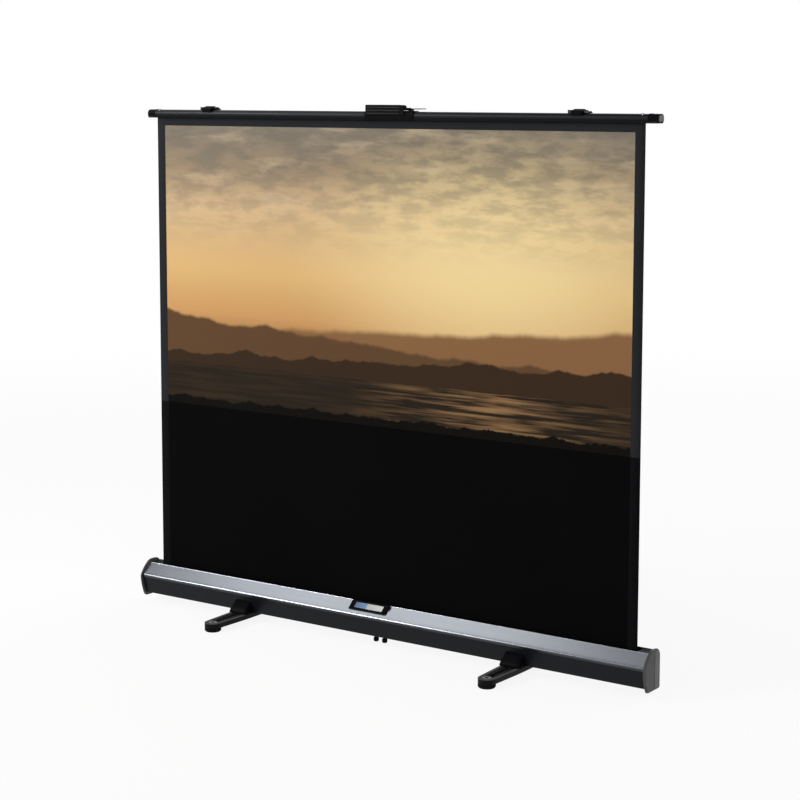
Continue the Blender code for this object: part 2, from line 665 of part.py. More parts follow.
def build_lift_arms(finishes):
    """Both arms of each side. A lower arm's frame starts at its base pivot, an upper arm's at
    its elbow, and the first axis of each runs along the arm."""
    for side, word in ((-1, "left"), (1, "right")):
        outward = -RAISED_ANGLE if side > 0 else RAISED_ANGLE - math.pi
        inward = RAISED_ANGLE - math.pi if side > 0 else -RAISED_ANGLE
        lower = holder("lower_arm_axis_" + word, (side * PIVOT_X, 0, BASE_PIVOT_Z), outward)
        build_arm("lower_arm_" + word, LOWER_ARM_FRONT_Y, True, finishes, lower)
        build_gear("lower_gear_" + word, LOWER_ARM_FRONT_Y, False, side < 0, finishes, lower)
        build_pin("elbow_pin_" + word, ARM_LENGTH, 0, UPPER_ARM_FRONT_Y,
                  LOWER_ARM_FRONT_Y + ARM_THICKNESS, finishes, lower, local=True)
        upper = holder("upper_arm_axis_" + word, (side * ELBOW_X, 0, ELBOW_Z), inward)
        build_arm("upper_arm_" + word, UPPER_ARM_FRONT_Y, False, finishes, upper)
        build_gear("upper_gear_" + word, UPPER_ARM_FRONT_Y, True, side > 0, finishes, upper)


def build_base_bracket(finishes):
    """The angle that stands on the case floor behind the lower arms, with the pins they turn on."""
    front = LOWER_ARM_FRONT_Y + ARM_THICKNESS + RUN_GAP
    floor = CASE_FLOOR_Z + TOUCH_GAP
    rear = front + BRACKET_WALL
    toe = front - BASE_BRACKET_TOE
    top = BASE_PIVOT_Z + BRACKET_EDGE
    outline = [(toe, floor), (rear, floor), (rear, top), (front, top),
               (front, floor + BRACKET_WALL), (toe, floor + BRACKET_WALL)]
    half = BASE_BRACKET_HALF_LENGTH
    bracket = add_piece("base_bracket", prism(outline, "X", -half, half), finishes["steel"])
    for side, word in ((-1, "left"), (1, "right")):
        hole = turned((side * PIVOT_X, front, BASE_PIVOT_Z), "Y",
                      rod_profile(BORE_RADIUS, -CUT_OVERRUN, BRACKET_WALL + CUT_OVERRUN), SMALL_ROUND_SIDES)
        combine(bracket, add_piece("cutter_base_" + word, hole, None), "DIFFERENCE")
        build_pin("base_pin_" + word, side * PIVOT_X, BASE_PIVOT_Z, LOWER_ARM_FRONT_Y,
                  front + BRACKET_WALL, finishes)


def build_top_hub(finishes, carrier):
    """The angle under the top bar in front of the upper arms, with the pins that it hangs on."""
    rear = UPPER_ARM_FRONT_Y - RUN_GAP
    front = rear - BRACKET_WALL
    top = BAR_BOTTOM_Z - TOUCH_GAP
    low = HUB_PIVOT_Z - BRACKET_EDGE
    outline = [(front, low), (rear, low), (rear, top - BRACKET_WALL),
               (front + HUB_FLANGE_DEPTH, top - BRACKET_WALL), (front + HUB_FLANGE_DEPTH, top), (front, top)]
    hub = add_piece("top_hub", prism(outline, "X", -HUB_HALF_LENGTH, HUB_HALF_LENGTH), finishes["steel"], carrier)
    for side, word in ((-1, "left"), (1, "right")):
        hole = turned((side * PIVOT_X, front, HUB_PIVOT_Z), "Y",
                      rod_profile(BORE_RADIUS, -CUT_OVERRUN, BRACKET_WALL + CUT_OVERRUN), SMALL_ROUND_SIDES)
        combine(hub, add_piece("cutter_hub_" + word, hole, None, carrier), "DIFFERENCE")
        build_pin("hub_pin_" + word, side * PIVOT_X, HUB_PIVOT_Z, front,
                  UPPER_ARM_FRONT_Y + ARM_THICKNESS, finishes, carrier)


def bar_shell(grow):
    """The bar's main outline as seen along it, grown evenly by a distance, from the bottom left."""
    low_y = BAR_FRONT_Y - grow
    high_y = BAR_REAR_Y + grow
    top = BAR_TOP_Z + grow
    bottom = BAR_BOTTOM_Z - min(0, grow)
    radius = BAR_CORNER_RADIUS + grow
    corners = [(high_y, bottom), (high_y, top), (low_y, top), (low_y, bottom)]
    return rounded_outline(corners, [0, radius, radius, 0])


def build_top_bar(finishes, carrier, batten_z):
    """The hollow bar, slotted underneath for the fabric."""
    slot = FABRIC_SLOT_WIDTH / 2
    inner = bar_shell(-BAR_WALL)
    outline = [(FABRIC_PLANE_Y + slot, BAR_BOTTOM_Z)] + bar_shell(0)
    outline += [(FABRIC_PLANE_Y - slot, BAR_BOTTOM_Z), (FABRIC_PLANE_Y - slot, BAR_BOTTOM_Z + BAR_WALL)]
    outline += list(reversed(inner))
    outline += [(FABRIC_PLANE_Y + slot, BAR_BOTTOM_Z + BAR_WALL)]
    half = BAR_LENGTH / 2 - BAR_CAP_END - TOUCH_GAP
    bar = add_piece("top_bar", prism(outline, "X", -half, half), finishes["dark_metal"], carrier)
    for side, word in ((-1, "left"), (1, "right")):
        x = side * (BAR_LENGTH / 2 - BAR_SCREW_INSET)
        hole = turned((x, FABRIC_PLANE_Y, BAR_TOP_Z), "Z",
                      rod_profile(BAR_SCREW_RADIUS + TOUCH_GAP, -BAR_WALL - CUT_OVERRUN, CUT_OVERRUN),
                      SMALL_ROUND_SIDES)
        combine(bar, add_piece("cutter_bar_" + word, hole, None, carrier), "DIFFERENCE")
        seat = BAR_TOP_Z + TOUCH_GAP
        crown = seat + BAR_SCREW_HEAD_HEIGHT
        foot = batten_z + BATTEN_RADIUS + TOUCH_GAP
        screw = [(0, foot), (BAR_SCREW_RADIUS, foot), (BAR_SCREW_RADIUS, seat), (BAR_SCREW_HEAD_RADIUS, seat),
                 (BAR_SCREW_HEAD_RADIUS, (seat + crown) / 2), (BAR_SCREW_RADIUS, crown), (0, crown)]
        smooth(add_piece("bar_screw_" + word, turned((x, FABRIC_PLANE_Y, 0), "Z", screw, SMALL_ROUND_SIDES),
                         finishes["steel"], carrier))
        build_bar_cap(side, "bar_cap_" + word, finishes, carrier)
    return bar


def build_bar_cap(side, name, finishes, carrier):
    """The sleeve and end plate on an end of the bar, open underneath."""
    low, high = sorted((side * (BAR_LENGTH / 2 - BAR_CAP_LENGTH), side * BAR_LENGTH / 2))
    cap = add_piece(name, prism(bar_shell(BAR_CAP_WALL), "X", low, high), finishes["grey_plastic"], carrier)
    cut_low, cut_high = sorted((side * (BAR_LENGTH / 2 - BAR_CAP_LENGTH - CUT_OVERRUN),
                                side * (BAR_LENGTH / 2 - BAR_CAP_END)))
    hollow = [(y, z if z > BAR_BOTTOM_Z else z - CUT_OVERRUN) for y, z in bar_shell(TOUCH_GAP)]
    cutter = prism(hollow, "X", cut_low, cut_high)
    return combine(cap, add_piece("cutter_" + name, cutter, None, carrier), "DIFFERENCE")


def build_latch(place_x, word, finishes, bar_carrier):
    """A slider on the bar whose leg hangs behind it. Pushed along, its tongue goes under the
    keeper on the back of the case when the screen is folded."""
    base_top = BAR_TOP_Z + TOUCH_GAP + LATCH_BASE_THICKNESS
    base_left = place_x - LATCH_BASE_LENGTH / 2
    base = block((base_left, BAR_FRONT_Y + BAR_CORNER_RADIUS, BAR_TOP_Z + TOUCH_GAP),
                 (base_left + LATCH_BASE_LENGTH, BAR_REAR_Y - BAR_CORNER_RADIUS, base_top))
    add_piece("latch_base_" + word, base, finishes["black_plastic"], bar_carrier)
    plate_low = base_top + TOUCH_GAP
    plate_high = plate_low + LATCH_SLIDER_HEIGHT
    leg_front = REAR_REACH + 2 * RUN_GAP
    leg_rear = leg_front + LATCH_LEG_THICKNESS
    leg_low = BAR_BOTTOM_Z - LATCH_LEG_DROP
    carrier = holder("latch_axis_" + word, (place_x, BAR_REAR_Y, BAR_TOP_Z))
    top = block((base_left, BAR_FRONT_Y + BAR_CORNER_RADIUS, plate_low),
                (base_left + LATCH_SLIDER_LENGTH, leg_front + LATCH_LEG_THICKNESS / 2, plate_high))
    slider = add_piece("latch_slider_" + word, top, finishes["black_plastic"], carrier)
    leg_left = base_left + (LATCH_SLIDER_LENGTH - LATCH_LEG_WIDTH) / 2
    leg_right = leg_left + LATCH_LEG_WIDTH
    leg = block((leg_left, leg_front, leg_low), (leg_right, leg_rear, plate_high - TOUCH_GAP))
    combine(slider, add_piece("guide_leg_" + word, leg, None, carrier), "UNION")
    tongue = block((leg_left + TOUCH_GAP, leg_front + TOUCH_GAP, leg_low + TOUCH_GAP),
                   (leg_right + LATCH_TRAVEL, leg_rear - TOUCH_GAP, leg_low + LATCH_TONGUE_HEIGHT))
    combine(slider, add_piece("guide_tongue_" + word, tongue, None, carrier), "UNION")
    keeper_x = leg_right + LATCH_TRAVEL + 2 * RUN_GAP
    keeper_low = CASE_TOP_Z + RUN_GAP - LATCH_LEG_DROP + LATCH_TONGUE_HEIGHT + LATCH_CLEARANCE
    keeper_high = keeper_low + KEEPER_HEIGHT
    keeper_front = REAR_REACH + TOUCH_GAP
    keeper_rear = REAR_REACH + KEEPER_DEPTH
    outline = [(keeper_front, keeper_low), (keeper_rear, keeper_low),
               (keeper_rear, (keeper_low + keeper_high) / 2), (keeper_front, keeper_high)]
    add_piece("latch_keeper_" + word, prism(outline, "X", keeper_x, keeper_x + KEEPER_LENGTH), finishes["steel"])


def build_handle(finishes, bar_carrier):
    """The saddle over the bar, the folding grip between its ears and the release lever."""
    shell = bar_shell(TOUCH_GAP)
    skin = bar_shell(TOUCH_GAP + SADDLE_WALL)
    rear_y = BAR_REAR_Y - BAR_CORNER_RADIUS
    saddle_top = BAR_TOP_Z + TOUCH_GAP + SADDLE_WALL
    low = BAR_BOTTOM_Z + TOUCH_GAP + RUN_GAP
    inner = [(y, z) for y, z in shell if y < rear_y - RUN_GAP and z > low]
    outer = [(y, z) for y, z in skin if y < rear_y - RUN_GAP and z > low]
    outline = [(rear_y, saddle_top)] + outer + [(outer[-1][0], low), (inner[-1][0], low)]
    outline += list(reversed(inner)) + [(rear_y, BAR_TOP_Z + TOUCH_GAP)]
    saddle = add_piece("handle_saddle", prism(outline, "X", SADDLE_LEFT_X, SADDLE_RIGHT_X),
                       finishes["black_plastic"], bar_carrier)
    build_grip(saddle, saddle_top, finishes, bar_carrier)
    build_release_lever(saddle, saddle_top, finishes, bar_carrier)


def add_ear(saddle, name, low, high, hole_axis, hole_centre, hole_radius, carrier):
    """An upright ear on the saddle with a hole through it for a trunnion."""
    combine(saddle, add_piece("guide_" + name, block(low, high), None, carrier), "UNION")
    reach = max(high[place] - low[place] for place in range(len(low))) + CUT_OVERRUN
    hole = turned(hole_centre, hole_axis, rod_profile(hole_radius, -reach, reach), SMALL_ROUND_SIDES)
    combine(saddle, add_piece("cutter_" + name, hole, None, carrier), "DIFFERENCE")


def build_grip(saddle, saddle_top, finishes, bar_carrier):
    """A loop that lies flat on the bar; it swings up and back about the ears' holes."""
    base = saddle_top + 2 * RUN_GAP
    front_y = BAR_FRONT_Y - SADDLE_WALL
    pivot_y = BAR_REAR_Y - BAR_CORNER_RADIUS - GRIP_PIVOT_SETBACK
    pivot_z = base + GRIP_ARM_HEIGHT / 2
    carrier = holder("grip_axis", ((GRIP_LEFT_X + GRIP_RIGHT_X) / 2, pivot_y, pivot_z))
    corners = [(GRIP_LEFT_X, base), (GRIP_RIGHT_X, base), (GRIP_RIGHT_X, base + GRIP_HEIGHT),
               (GRIP_LEFT_X, base + GRIP_HEIGHT)]
    radii = [0, 0, GRIP_CORNER_RADIUS, GRIP_SMALL_RADIUS]
    grip = add_piece("handle_grip", prism(rounded_outline(corners, radii), "Y", front_y, front_y + GRIP_DEPTH),
                     finishes["rubber"], carrier)
    half = GRIP_ARM_HEIGHT / 2
    for word, low_x, outer_x, way in (("left", GRIP_LEFT_X, GRIP_LEFT_X, -1),
                                      ("right", GRIP_RIGHT_X - GRIP_ARM_WIDTH, GRIP_RIGHT_X, 1)):
        end = arc_points((pivot_y, pivot_z), half, -math.pi / 2, math.pi / 2, 2 * CORNER_STEPS)
        side = [(front_y + GRIP_DEPTH / 2, base + GRIP_ARM_HEIGHT), (front_y + GRIP_DEPTH / 2, base)] + end
        inset = 0 if way < 0 else TOUCH_GAP
        arm = prism(side, "X", low_x + TOUCH_GAP - inset, low_x + GRIP_ARM_WIDTH - inset)
        combine(grip, add_piece("guide_grip_arm_" + word, arm, None, carrier), "UNION")
        tip = outer_x + way * (EAR_THICKNESS + TOUCH_GAP)
        root = outer_x - way * GRIP_ARM_WIDTH / 2
        trunnion = turned((0, pivot_y, pivot_z), "X", rod_profile(GRIP_TRUNNION_RADIUS, root, tip),
                          SMALL_ROUND_SIDES)
        combine(grip, add_piece("guide_trunnion_" + word, trunnion, None, carrier), "UNION")
        ear_low, ear_high = sorted((outer_x + way * RUN_GAP, outer_x + way * (RUN_GAP + EAR_THICKNESS)))
        add_ear(saddle, "grip_ear_" + word, (ear_low, pivot_y - half, BAR_TOP_Z + TOUCH_GAP + SADDLE_WALL / 2),
                (ear_high, pivot_y + half, pivot_z + half), "X",
                ((ear_low + ear_high) / 2, pivot_y, pivot_z), GRIP_TRUNNION_RADIUS + TOUCH_GAP, bar_carrier)


def build_release_lever(saddle, saddle_top, finishes, bar_carrier):
    """A thumb lever beside the grip that tips down at its free end."""
    pivot_z = saddle_top + RUN_GAP + LEVER_KNUCKLE_RADIUS
    middle_y = (BAR_FRONT_Y + BAR_REAR_Y) / 2
    carrier = holder("release_lever_axis", (LEVER_PIVOT_X, middle_y, pivot_z))
    knuckle = arc_points((LEVER_PIVOT_X, pivot_z), LEVER_KNUCKLE_RADIUS, math.pi / 2, 3 * math.pi / 2,
                         2 * CORNER_STEPS)
    tail_low = pivot_z + LEVER_RISE
    outline = knuckle + [(LEVER_PIVOT_X + LEVER_KNUCKLE_RADIUS, pivot_z),
                         (LEVER_END_X, tail_low), (LEVER_END_X, tail_low + LEVER_THICKNESS),
                         (LEVER_PIVOT_X + LEVER_KNUCKLE_RADIUS, pivot_z + LEVER_KNUCKLE_RADIUS)]
    low_y = middle_y - LEVER_WIDTH / 2
    high_y = middle_y + LEVER_WIDTH / 2
    lever = add_piece("release_lever", prism(outline, "Y", low_y, high_y), finishes["black_plastic"], carrier)
    reach = LEVER_WIDTH / 2 + RUN_GAP + EAR_THICKNESS / 2
    trunnion = turned((LEVER_PIVOT_X, middle_y, pivot_z), "Y",
                      rod_profile(LEVER_TRUNNION_RADIUS, -reach, reach), SMALL_ROUND_SIDES)
    combine(lever, add_piece("guide_lever_trunnion", trunnion, None, carrier), "UNION")
    for way, word in ((-1, "front"), (1, "rear")):
        near = middle_y + way * (LEVER_WIDTH / 2 + RUN_GAP)
        ear_low, ear_high = sorted((near, near + way * (EAR_THICKNESS / 2 + RUN_GAP)))
        add_ear(saddle, "lever_ear_" + word,
                (LEVER_PIVOT_X - LEVER_KNUCKLE_RADIUS, ear_low, BAR_TOP_Z + TOUCH_GAP + SADDLE_WALL / 2),
                (LEVER_PIVOT_X + LEVER_KNUCKLE_RADIUS, ear_high, pivot_z + LEVER_KNUCKLE_RADIUS), "Y",
                (LEVER_PIVOT_X, (ear_low + ear_high) / 2, pivot_z), LEVER_TRUNNION_RADIUS + TOUCH_GAP, bar_carrier)


def foot_outline(inset):
    """The foot arm seen from above, drawn in from its edge by a distance."""
    radius = FOOT_PAD_RADIUS - inset
    waist = FOOT_WAIST_HALF_WIDTH - inset
    front = arc_points((0, -FOOT_PAD_REACH), radius, -math.pi, 0, 2 * CORNER_STEPS)
    rear = arc_points((0, FOOT_PAD_REACH), radius, 0, math.pi, 2 * CORNER_STEPS)
    right = [(waist, -FOOT_WAIST_REACH), (waist, FOOT_WAIST_REACH)]
    left = [(-waist, FOOT_WAIST_REACH), (-waist, -FOOT_WAIST_REACH)]
    return front + right + rear + left


def recess_outline(way):
    """The sunk panel on the top of one half of the foot arm, clear of the case and of the pad."""
    near = FOOT_WAIST_REACH + FOOT_RIM
    far = FOOT_PAD_REACH - FOOT_PAD_RADIUS / 2
    half_near = FOOT_WAIST_HALF_WIDTH - 2 * FOOT_RIM
    half_far = FOOT_PAD_RADIUS - 2 * FOOT_RIM
    return [(-half_near, way * near), (half_near, way * near), (half_far, way * far), (-half_far, way * far)]


def build_foot(side, word, finishes):
    """A swivel foot: the arm on its bolt under the case, a ribbed pad at each end and the fixed
    cover above its root."""
    place_x = side * FOOT_PLACE_X
    low = FOOT_PAD_HEIGHT + TOUCH_GAP
    high = GROUND_CLEARANCE - TOUCH_GAP
    carrier = holder("foot_axis_" + word, (place_x, 0, GROUND_CLEARANCE))
    outline = [(x + place_x, y) for x, y in foot_outline(0)]
    arm = add_piece("foot_arm_" + word, prism(outline, "Z", low, high), finishes["black_plastic"], carrier)
    hole = turned((place_x, 0, 0), "Z", rod_profile(FOOT_BOLT_RADIUS + TOUCH_GAP, low - CUT_OVERRUN,
                                                    high + CUT_OVERRUN), SMALL_ROUND_SIDES)
    combine(arm, add_piece("cutter_foot_bolt_" + word, hole, None, carrier), "DIFFERENCE")
    for way, end in ((-1, "front"), (1, "rear")):
        recess = [(x + place_x, y) for x, y in recess_outline(way)]
        sunk = prism(recess, "Z", high - FOOT_RECESS_DEPTH, high + CUT_OVERRUN)
        combine(arm, add_piece("cutter_recess_" + end + word, sunk, None, carrier), "DIFFERENCE")
        seat = turned((place_x, way * FOOT_PAD_REACH, high), "Z",
                      rod_profile(FOOT_SCREW_RADIUS, -FOOT_SCREW_DEPTH, CUT_OVERRUN), SMALL_ROUND_SIDES)
        combine(arm, add_piece("cutter_screw_" + end + word, seat, None, carrier), "DIFFERENCE")
        pad = add_piece("foot_pad_" + end + "_" + word, foot_pad(place_x, way * FOOT_PAD_REACH),
                        finishes["rubber"], carrier)
        smooth(pad)
    build_foot_bolt(place_x, word, low, finishes)
    build_foot_cover(place_x, word, finishes)


def foot_pad(x, y):
    """A round pad with upright ribs round its edge."""
    points = []
    for step in range(2 * FOOT_PAD_RIBS):
        angle = math.pi * step / FOOT_PAD_RIBS
        radius = FOOT_PAD_RADIUS - (step % 2) * FOOT_PAD_RIB_DEPTH
        points.append((x + radius * math.cos(angle), y + radius * math.sin(angle)))
    return prism(points, "Z", 0, FOOT_PAD_HEIGHT)


def build_foot_bolt(place_x, word, arm_low, finishes):
    """The swivel bolt, headed under the arm and held by its nut on the case floor."""
    head = arm_low - TOUCH_GAP
    nut = CASE_FLOOR_Z + TOUCH_GAP
    profile = [(0, head - FOOT_BOLT_HEAD_HEIGHT), (FOOT_BOLT_HEAD_RADIUS, head - FOOT_BOLT_HEAD_HEIGHT),
               (FOOT_BOLT_HEAD_RADIUS, head), (FOOT_BOLT_RADIUS, head), (FOOT_BOLT_RADIUS, nut),
               (FOOT_BOLT_HEAD_RADIUS, nut), (FOOT_BOLT_HEAD_RADIUS, nut + FOOT_BOLT_RADIUS),
               (0, nut + FOOT_BOLT_RADIUS)]
    smooth(add_piece("foot_bolt_" + word, turned((place_x, 0, 0), "Z", profile, SMALL_ROUND_SIDES),
                     finishes["steel"]))


def build_foot_cover(place_x, word, finishes):
    """A wedge on the case's lower front over the foot's root, narrower towards its top."""
    bottom = GROUND_CLEARANCE + RUN_GAP
    top = GROUND_CLEARANCE + FOOT_COVER_HEIGHT
    profile = [(lower_front_y(bottom) - TOUCH_GAP, bottom), (lower_front_y(top) - TOUCH_GAP, top),
               (lower_front_y(top) - FOOT_COVER_BROW, top),
               (-FOOT_COVER_REACH, bottom + FOOT_COVER_NOSE_HEIGHT), (-FOOT_COVER_REACH, bottom)]
    solid = bmesh.new()
    ends = []
    for side in (-1, 1):
        ring = []
        for y, z in profile:
            share = (z - bottom) / (top - bottom)
            half = FOOT_COVER_HALF_WIDTH + (FOOT_COVER_TOP_HALF_WIDTH - FOOT_COVER_HALF_WIDTH) * share
            ring.append(solid.verts.new((place_x + side * half, y, z)))
        ends.append(ring)
        solid.faces.new(ring)
    for place in range(len(profile)):
        after = (place + 1) % len(profile)
        solid.faces.new((ends[0][place], ends[0][after], ends[1][after], ends[1][place]))
    add_piece("foot_cover_" + word, solid, finishes["black_plastic"])


def build_centre_stubs(finishes):
    top = GROUND_CLEARANCE - TOUCH_GAP
    profile = [(0, 0), (STUB_RADIUS, 0), (STUB_RADIUS, STUB_TIP_HEIGHT), (STUB_NECK_RADIUS, STUB_TIP_HEIGHT),
               (STUB_RADIUS, top), (0, top)]
    for side, word in ((-1, "left"), (1, "right")):
        x = STUB_MIDDLE_X + side * STUB_SPACING / 2
        smooth(add_piece("centre_stub_" + word, turned((x, STUB_PLACE_Y, 0), "Z", profile, SMALL_ROUND_SIDES),
                         finishes["rubber"]))


def build_name_plate(finishes):
    """The blank plate on the sloping front, with its upper edges chamfered."""
    top, ridge, uphill, inside = facet_frame()
    seat = top - uphill * PLATE_TOP_INSET - inside * TOUCH_GAP
    rise = -inside * PLATE_THICKNESS
    edge = uphill * PLATE_EDGE
    chamfer = inside * PLATE_EDGE
    foot = seat - uphill * PLATE_WIDTH
    corners = [seat, seat + rise + chamfer, seat + rise - edge, foot + rise + edge, foot + rise + chamfer, foot]
    low = PLATE_MIDDLE_X - PLATE_LENGTH / 2
    plate = prism([(p.x, p.y) for p in corners], "X", low, low + PLATE_LENGTH)
    add_piece("front_plate", plate, finishes["black_plastic"])


def main():
    clear_scene()
    finishes = make_finishes()
    build_case_body(finishes)
    build_front_fascia(finishes)
    build_slot_guide(finishes)
    build_end_cap(-1, "end_cap_left", finishes)
    build_end_cap(1, "end_cap_right", finishes)
    build_roller(finishes)
    build_roller_seats(finishes)
    build_base_bracket(finishes)
    build_lift_arms(finishes)
    bar_carrier = holder("top_bar_axis", (PIVOT_X, 0, HUB_PIVOT_Z))
    build_top_hub(finishes, bar_carrier)
    batten_z = build_fabric(finishes, bar_carrier)
    build_top_bar(finishes, bar_carrier, batten_z)
    build_latch(-LATCH_PLACE_X, "left", finishes, bar_carrier)
    build_latch(LATCH_PLACE_X, "right", finishes, bar_carrier)
    build_handle(finishes, bar_carrier)
    build_foot(-1, "left", finishes)
    build_foot(1, "right", finishes)
    build_centre_stubs(finishes)
    build_name_plate(finishes)
    print("arms turn by", math.degrees(RAISED_ANGLE - FOLDED_ANGLE), "degrees; bar bottom at", BAR_BOTTOM_Z)


main()
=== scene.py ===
"""Looks of a portable projection screen: a sprung cloth pulled up from a long case on two swivel feet."""
import json
import math
from functools import partialmethod

import bmesh
import bpy
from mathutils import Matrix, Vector, geometry


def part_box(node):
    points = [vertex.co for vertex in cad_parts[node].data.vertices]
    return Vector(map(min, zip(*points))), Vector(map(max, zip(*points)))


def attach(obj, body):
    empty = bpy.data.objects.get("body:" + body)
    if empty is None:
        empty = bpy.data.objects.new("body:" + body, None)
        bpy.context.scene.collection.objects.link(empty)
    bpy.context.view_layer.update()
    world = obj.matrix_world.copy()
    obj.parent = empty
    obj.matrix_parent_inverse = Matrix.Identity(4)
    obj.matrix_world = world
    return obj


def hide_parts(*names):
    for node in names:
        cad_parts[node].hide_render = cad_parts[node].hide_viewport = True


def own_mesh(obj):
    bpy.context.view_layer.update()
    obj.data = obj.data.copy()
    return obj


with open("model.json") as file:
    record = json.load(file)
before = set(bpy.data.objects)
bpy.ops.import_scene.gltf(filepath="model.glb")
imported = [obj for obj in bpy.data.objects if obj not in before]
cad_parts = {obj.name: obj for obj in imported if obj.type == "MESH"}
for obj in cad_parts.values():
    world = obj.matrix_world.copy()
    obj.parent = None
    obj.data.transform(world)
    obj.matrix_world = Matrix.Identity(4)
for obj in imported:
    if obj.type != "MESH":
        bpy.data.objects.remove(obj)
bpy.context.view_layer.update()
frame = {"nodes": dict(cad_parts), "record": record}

# Shared fits and edges, in metres
TOUCH_GAP = 0.0003
EDGE_WIDTH = 0.0006
SOFT_EDGE = EDGE_WIDTH / 2
FINE_EDGE = EDGE_WIDTH / 3
CRISP_EDGE = EDGE_WIDTH / 4
KEEN_EDGE = EDGE_WIDTH / 6
MERGE_DISTANCE = 0.00001
MERGE_DIGITS = 4
SHARPEST_SHARE = 0.5
FLAT_ANGLE = math.radians(1)
EDGE_ANGLE = math.radians(38)
QUARTER_TURN = math.pi / 2
FULL_TURN = 2 * math.pi
ARC_STEPS = 6
ROUND_SIDES = 32

# Cloth
CLOTH_Y = 0.01
CLOTH_THICKNESS = 0.0004
CLOTH_COLUMNS = 72
CLOTH_ROWS = 64
CLOTH_WAVE = 0.0003
CLOTH_WAVE_LENGTH = 0.46
CLOTH_WAVE_DRIFT = 0.8
FACING_SHARE = 0.5
WEAVE_PITCH = 0.0012
WRAP_TURNS = 2.5
WRAP_STEPS = 20

# Dusk view on the cloth: places from the cloth's middle and the floor, and linear tones
SIDE_BORDER = 0.033
TOP_BORDER = 0.027
PICTURE_FLOOR = 0.7
SKY_STOPS = ((0.24, (0.3, 0.145, 0.052)), (0.34, (0.56, 0.3, 0.115)), (0.5, (0.66, 0.42, 0.175)),
             (0.72, (0.6, 0.42, 0.235)), (0.86, (0.3, 0.225, 0.145)), (1, (0.215, 0.185, 0.145)))
GLOW_PLACE = (0.42, 1.22)
GLOW_NARROWING = (1.15, 1.9)
GLOW_REACH = 0.55
GLOW_TONE = (0.9, 0.72, 0.36)
CLOUD_TONE = (0.175, 0.15, 0.118)
GLEAM_TONE = (0.72, 0.56, 0.36)
WATER_TONES = ((0.022, 0.016, 0.011), (0.34, 0.19, 0.085))
# Each ridge's height, slope, swing, pace, detail, roughness and blur, and its tone, far to near
HILLS = (((1, 0.05, 0.06, 1.7, 9, 0.55, -0.012, 0.012), (0.235, 0.12, 0.052)),
         ((0.955, -0.06, 0.07, 2.6, 9, 0.55, -0.007, 0.007), (0.11, 0.058, 0.028)),
         ((0.905, 0.035, 0.06, 4.4, 9, 0.55, -0.004, 0.004), (0.04, 0.023, 0.013)))
SHORE = (0.843, 0, 0.008, 6, 4, 0.5, -0.001, 0.001)
NEAR_BANK = ((0.7275, 0, 0.0375, 9, 9, 0.65, -0.002, 0.003), (0.0055, 0.0045, 0.0035))
DROP_TONES = ((0.0007, 0.0007, 0.0008), (0.0016, 0.0016, 0.0018))
BORDER_TONES = ((0.014, 0.0145, 0.0165), (0.023, 0.024, 0.027))
LOWER_BORDER_TONE = (0.004, 0.0042, 0.0048)
COATING_TONES = ((0.003, 0.003, 0.0034), (0.006, 0.006, 0.0066))

# Finishes: stretches and depths of their marks
NOISE_MIDDLE = (0.3, 0.7)
DRAW_LINES = (0.6, 260, 260)
DRAW_LINE_SHADES = (0.35, 0.65, 0, 0.35)
DRAW_LINE_DEPTH = 0.00005
GRAIN_SCALE = 900
GRAIN_DEPTH = 0.00008
SCRATCH_DEPTH = 0.00003
PORE_DEPTH = 0.0001
BAND_RATE = 20
WEAVE_DEPTHS = (0.00006, 0.00005)
PEEL_DEPTH = 0.00002
EYE_RING_DEPTH = 0.0006
EYE_EDGE_SHARES = (1.25, 1.45)
BOSS_EDGE_SHARE = 1.15
BLUE_SPAN = (-0.085, -0.03)
CREAM_SPAN = (-0.035, 0.03)

# Silver front and its rolled lower edge
FACET_TOP = Vector((-0.0017, 0.13))
FACET_RIDGE = Vector((-0.0437, 0.0923))
FACET_LENGTH = (FACET_RIDGE - FACET_TOP).length
DOWNHILL = (FACET_RIDGE - FACET_TOP).normalized()
OUTWARD = -DOWNHILL.orthogonal()
FASCIA_WALL = 0.0022
NOSE_LENGTH = 0.009
NOSE_LIFT = 0.001
NOSE_PULL = 0.005
NOSE_LAP = 0.007
NOSE_SKIN = 0.0006
NOSE_STEPS = 12
NOSE_FALL = Vector((0.26, -0.966))
# Painted shade: the silver darkens over this length towards its rolled lower edge
PAINTED_SHADE_LENGTH = 0.014
LIP_LENGTH = 0.002
LIP_RISE = 0.0004

# Blank plate on the silver front
PLATE_RING_WIDTH = 0.0085
PLATE_RING_CORNER = 0.0045
PLATE_RING_RISE = 0.0016
PLATE_END_WIDTH = 0.019
PLATE_END_RISE = 0.00112
PLATE_FIELD_RISE = 0.0006
PLATE_BLUE_SHARE = 0.42
PLATE_HOOK = (0.0045, 0.015, 0.0035)

# Case ends and back
CAP_BOWS = (((-0.004, 0.14), (-0.0497, 0.0923), 0.0045), ((-0.0497, 0.0923), (-0.03, 0.018), 0.0035))
CAP_BOW_REACH = 0.009
CAP_SPACING = 0.003
CAP_SMOOTHINGS = 8
CAP_GROWTH = 0.0006
CAP_BACK_X = 0.96645
CAP_EDGE_ROUND = 0.0014
CAP_PANEL_INSET = 0.0045
CAP_PANEL_RISE = 0.0009
CAP_STEP_Y = 0.015
CAP_STEP_RISE = 0.0008
BACK_RIB_HEIGHTS = (0.052, 0.078, 0.104)
BACK_RIB_WIDTH = 0.0035
BACK_RIB_RISE = 0.0008
BACK_RIB_END = 0.004
MOUTH_END_X = (0.921, 0.9603)
MOUTH_END_PROFILE = ((0.002, 0.1262), (0.0457, 0.1262), (0.0457, 0.1278), (0.0445, 0.1285),
                     (0.03, 0.1285), (0.029, 0.1275), (0.018, 0.1275), (0.017, 0.1285),
                     (0.0032, 0.1285), (0.002, 0.1278))

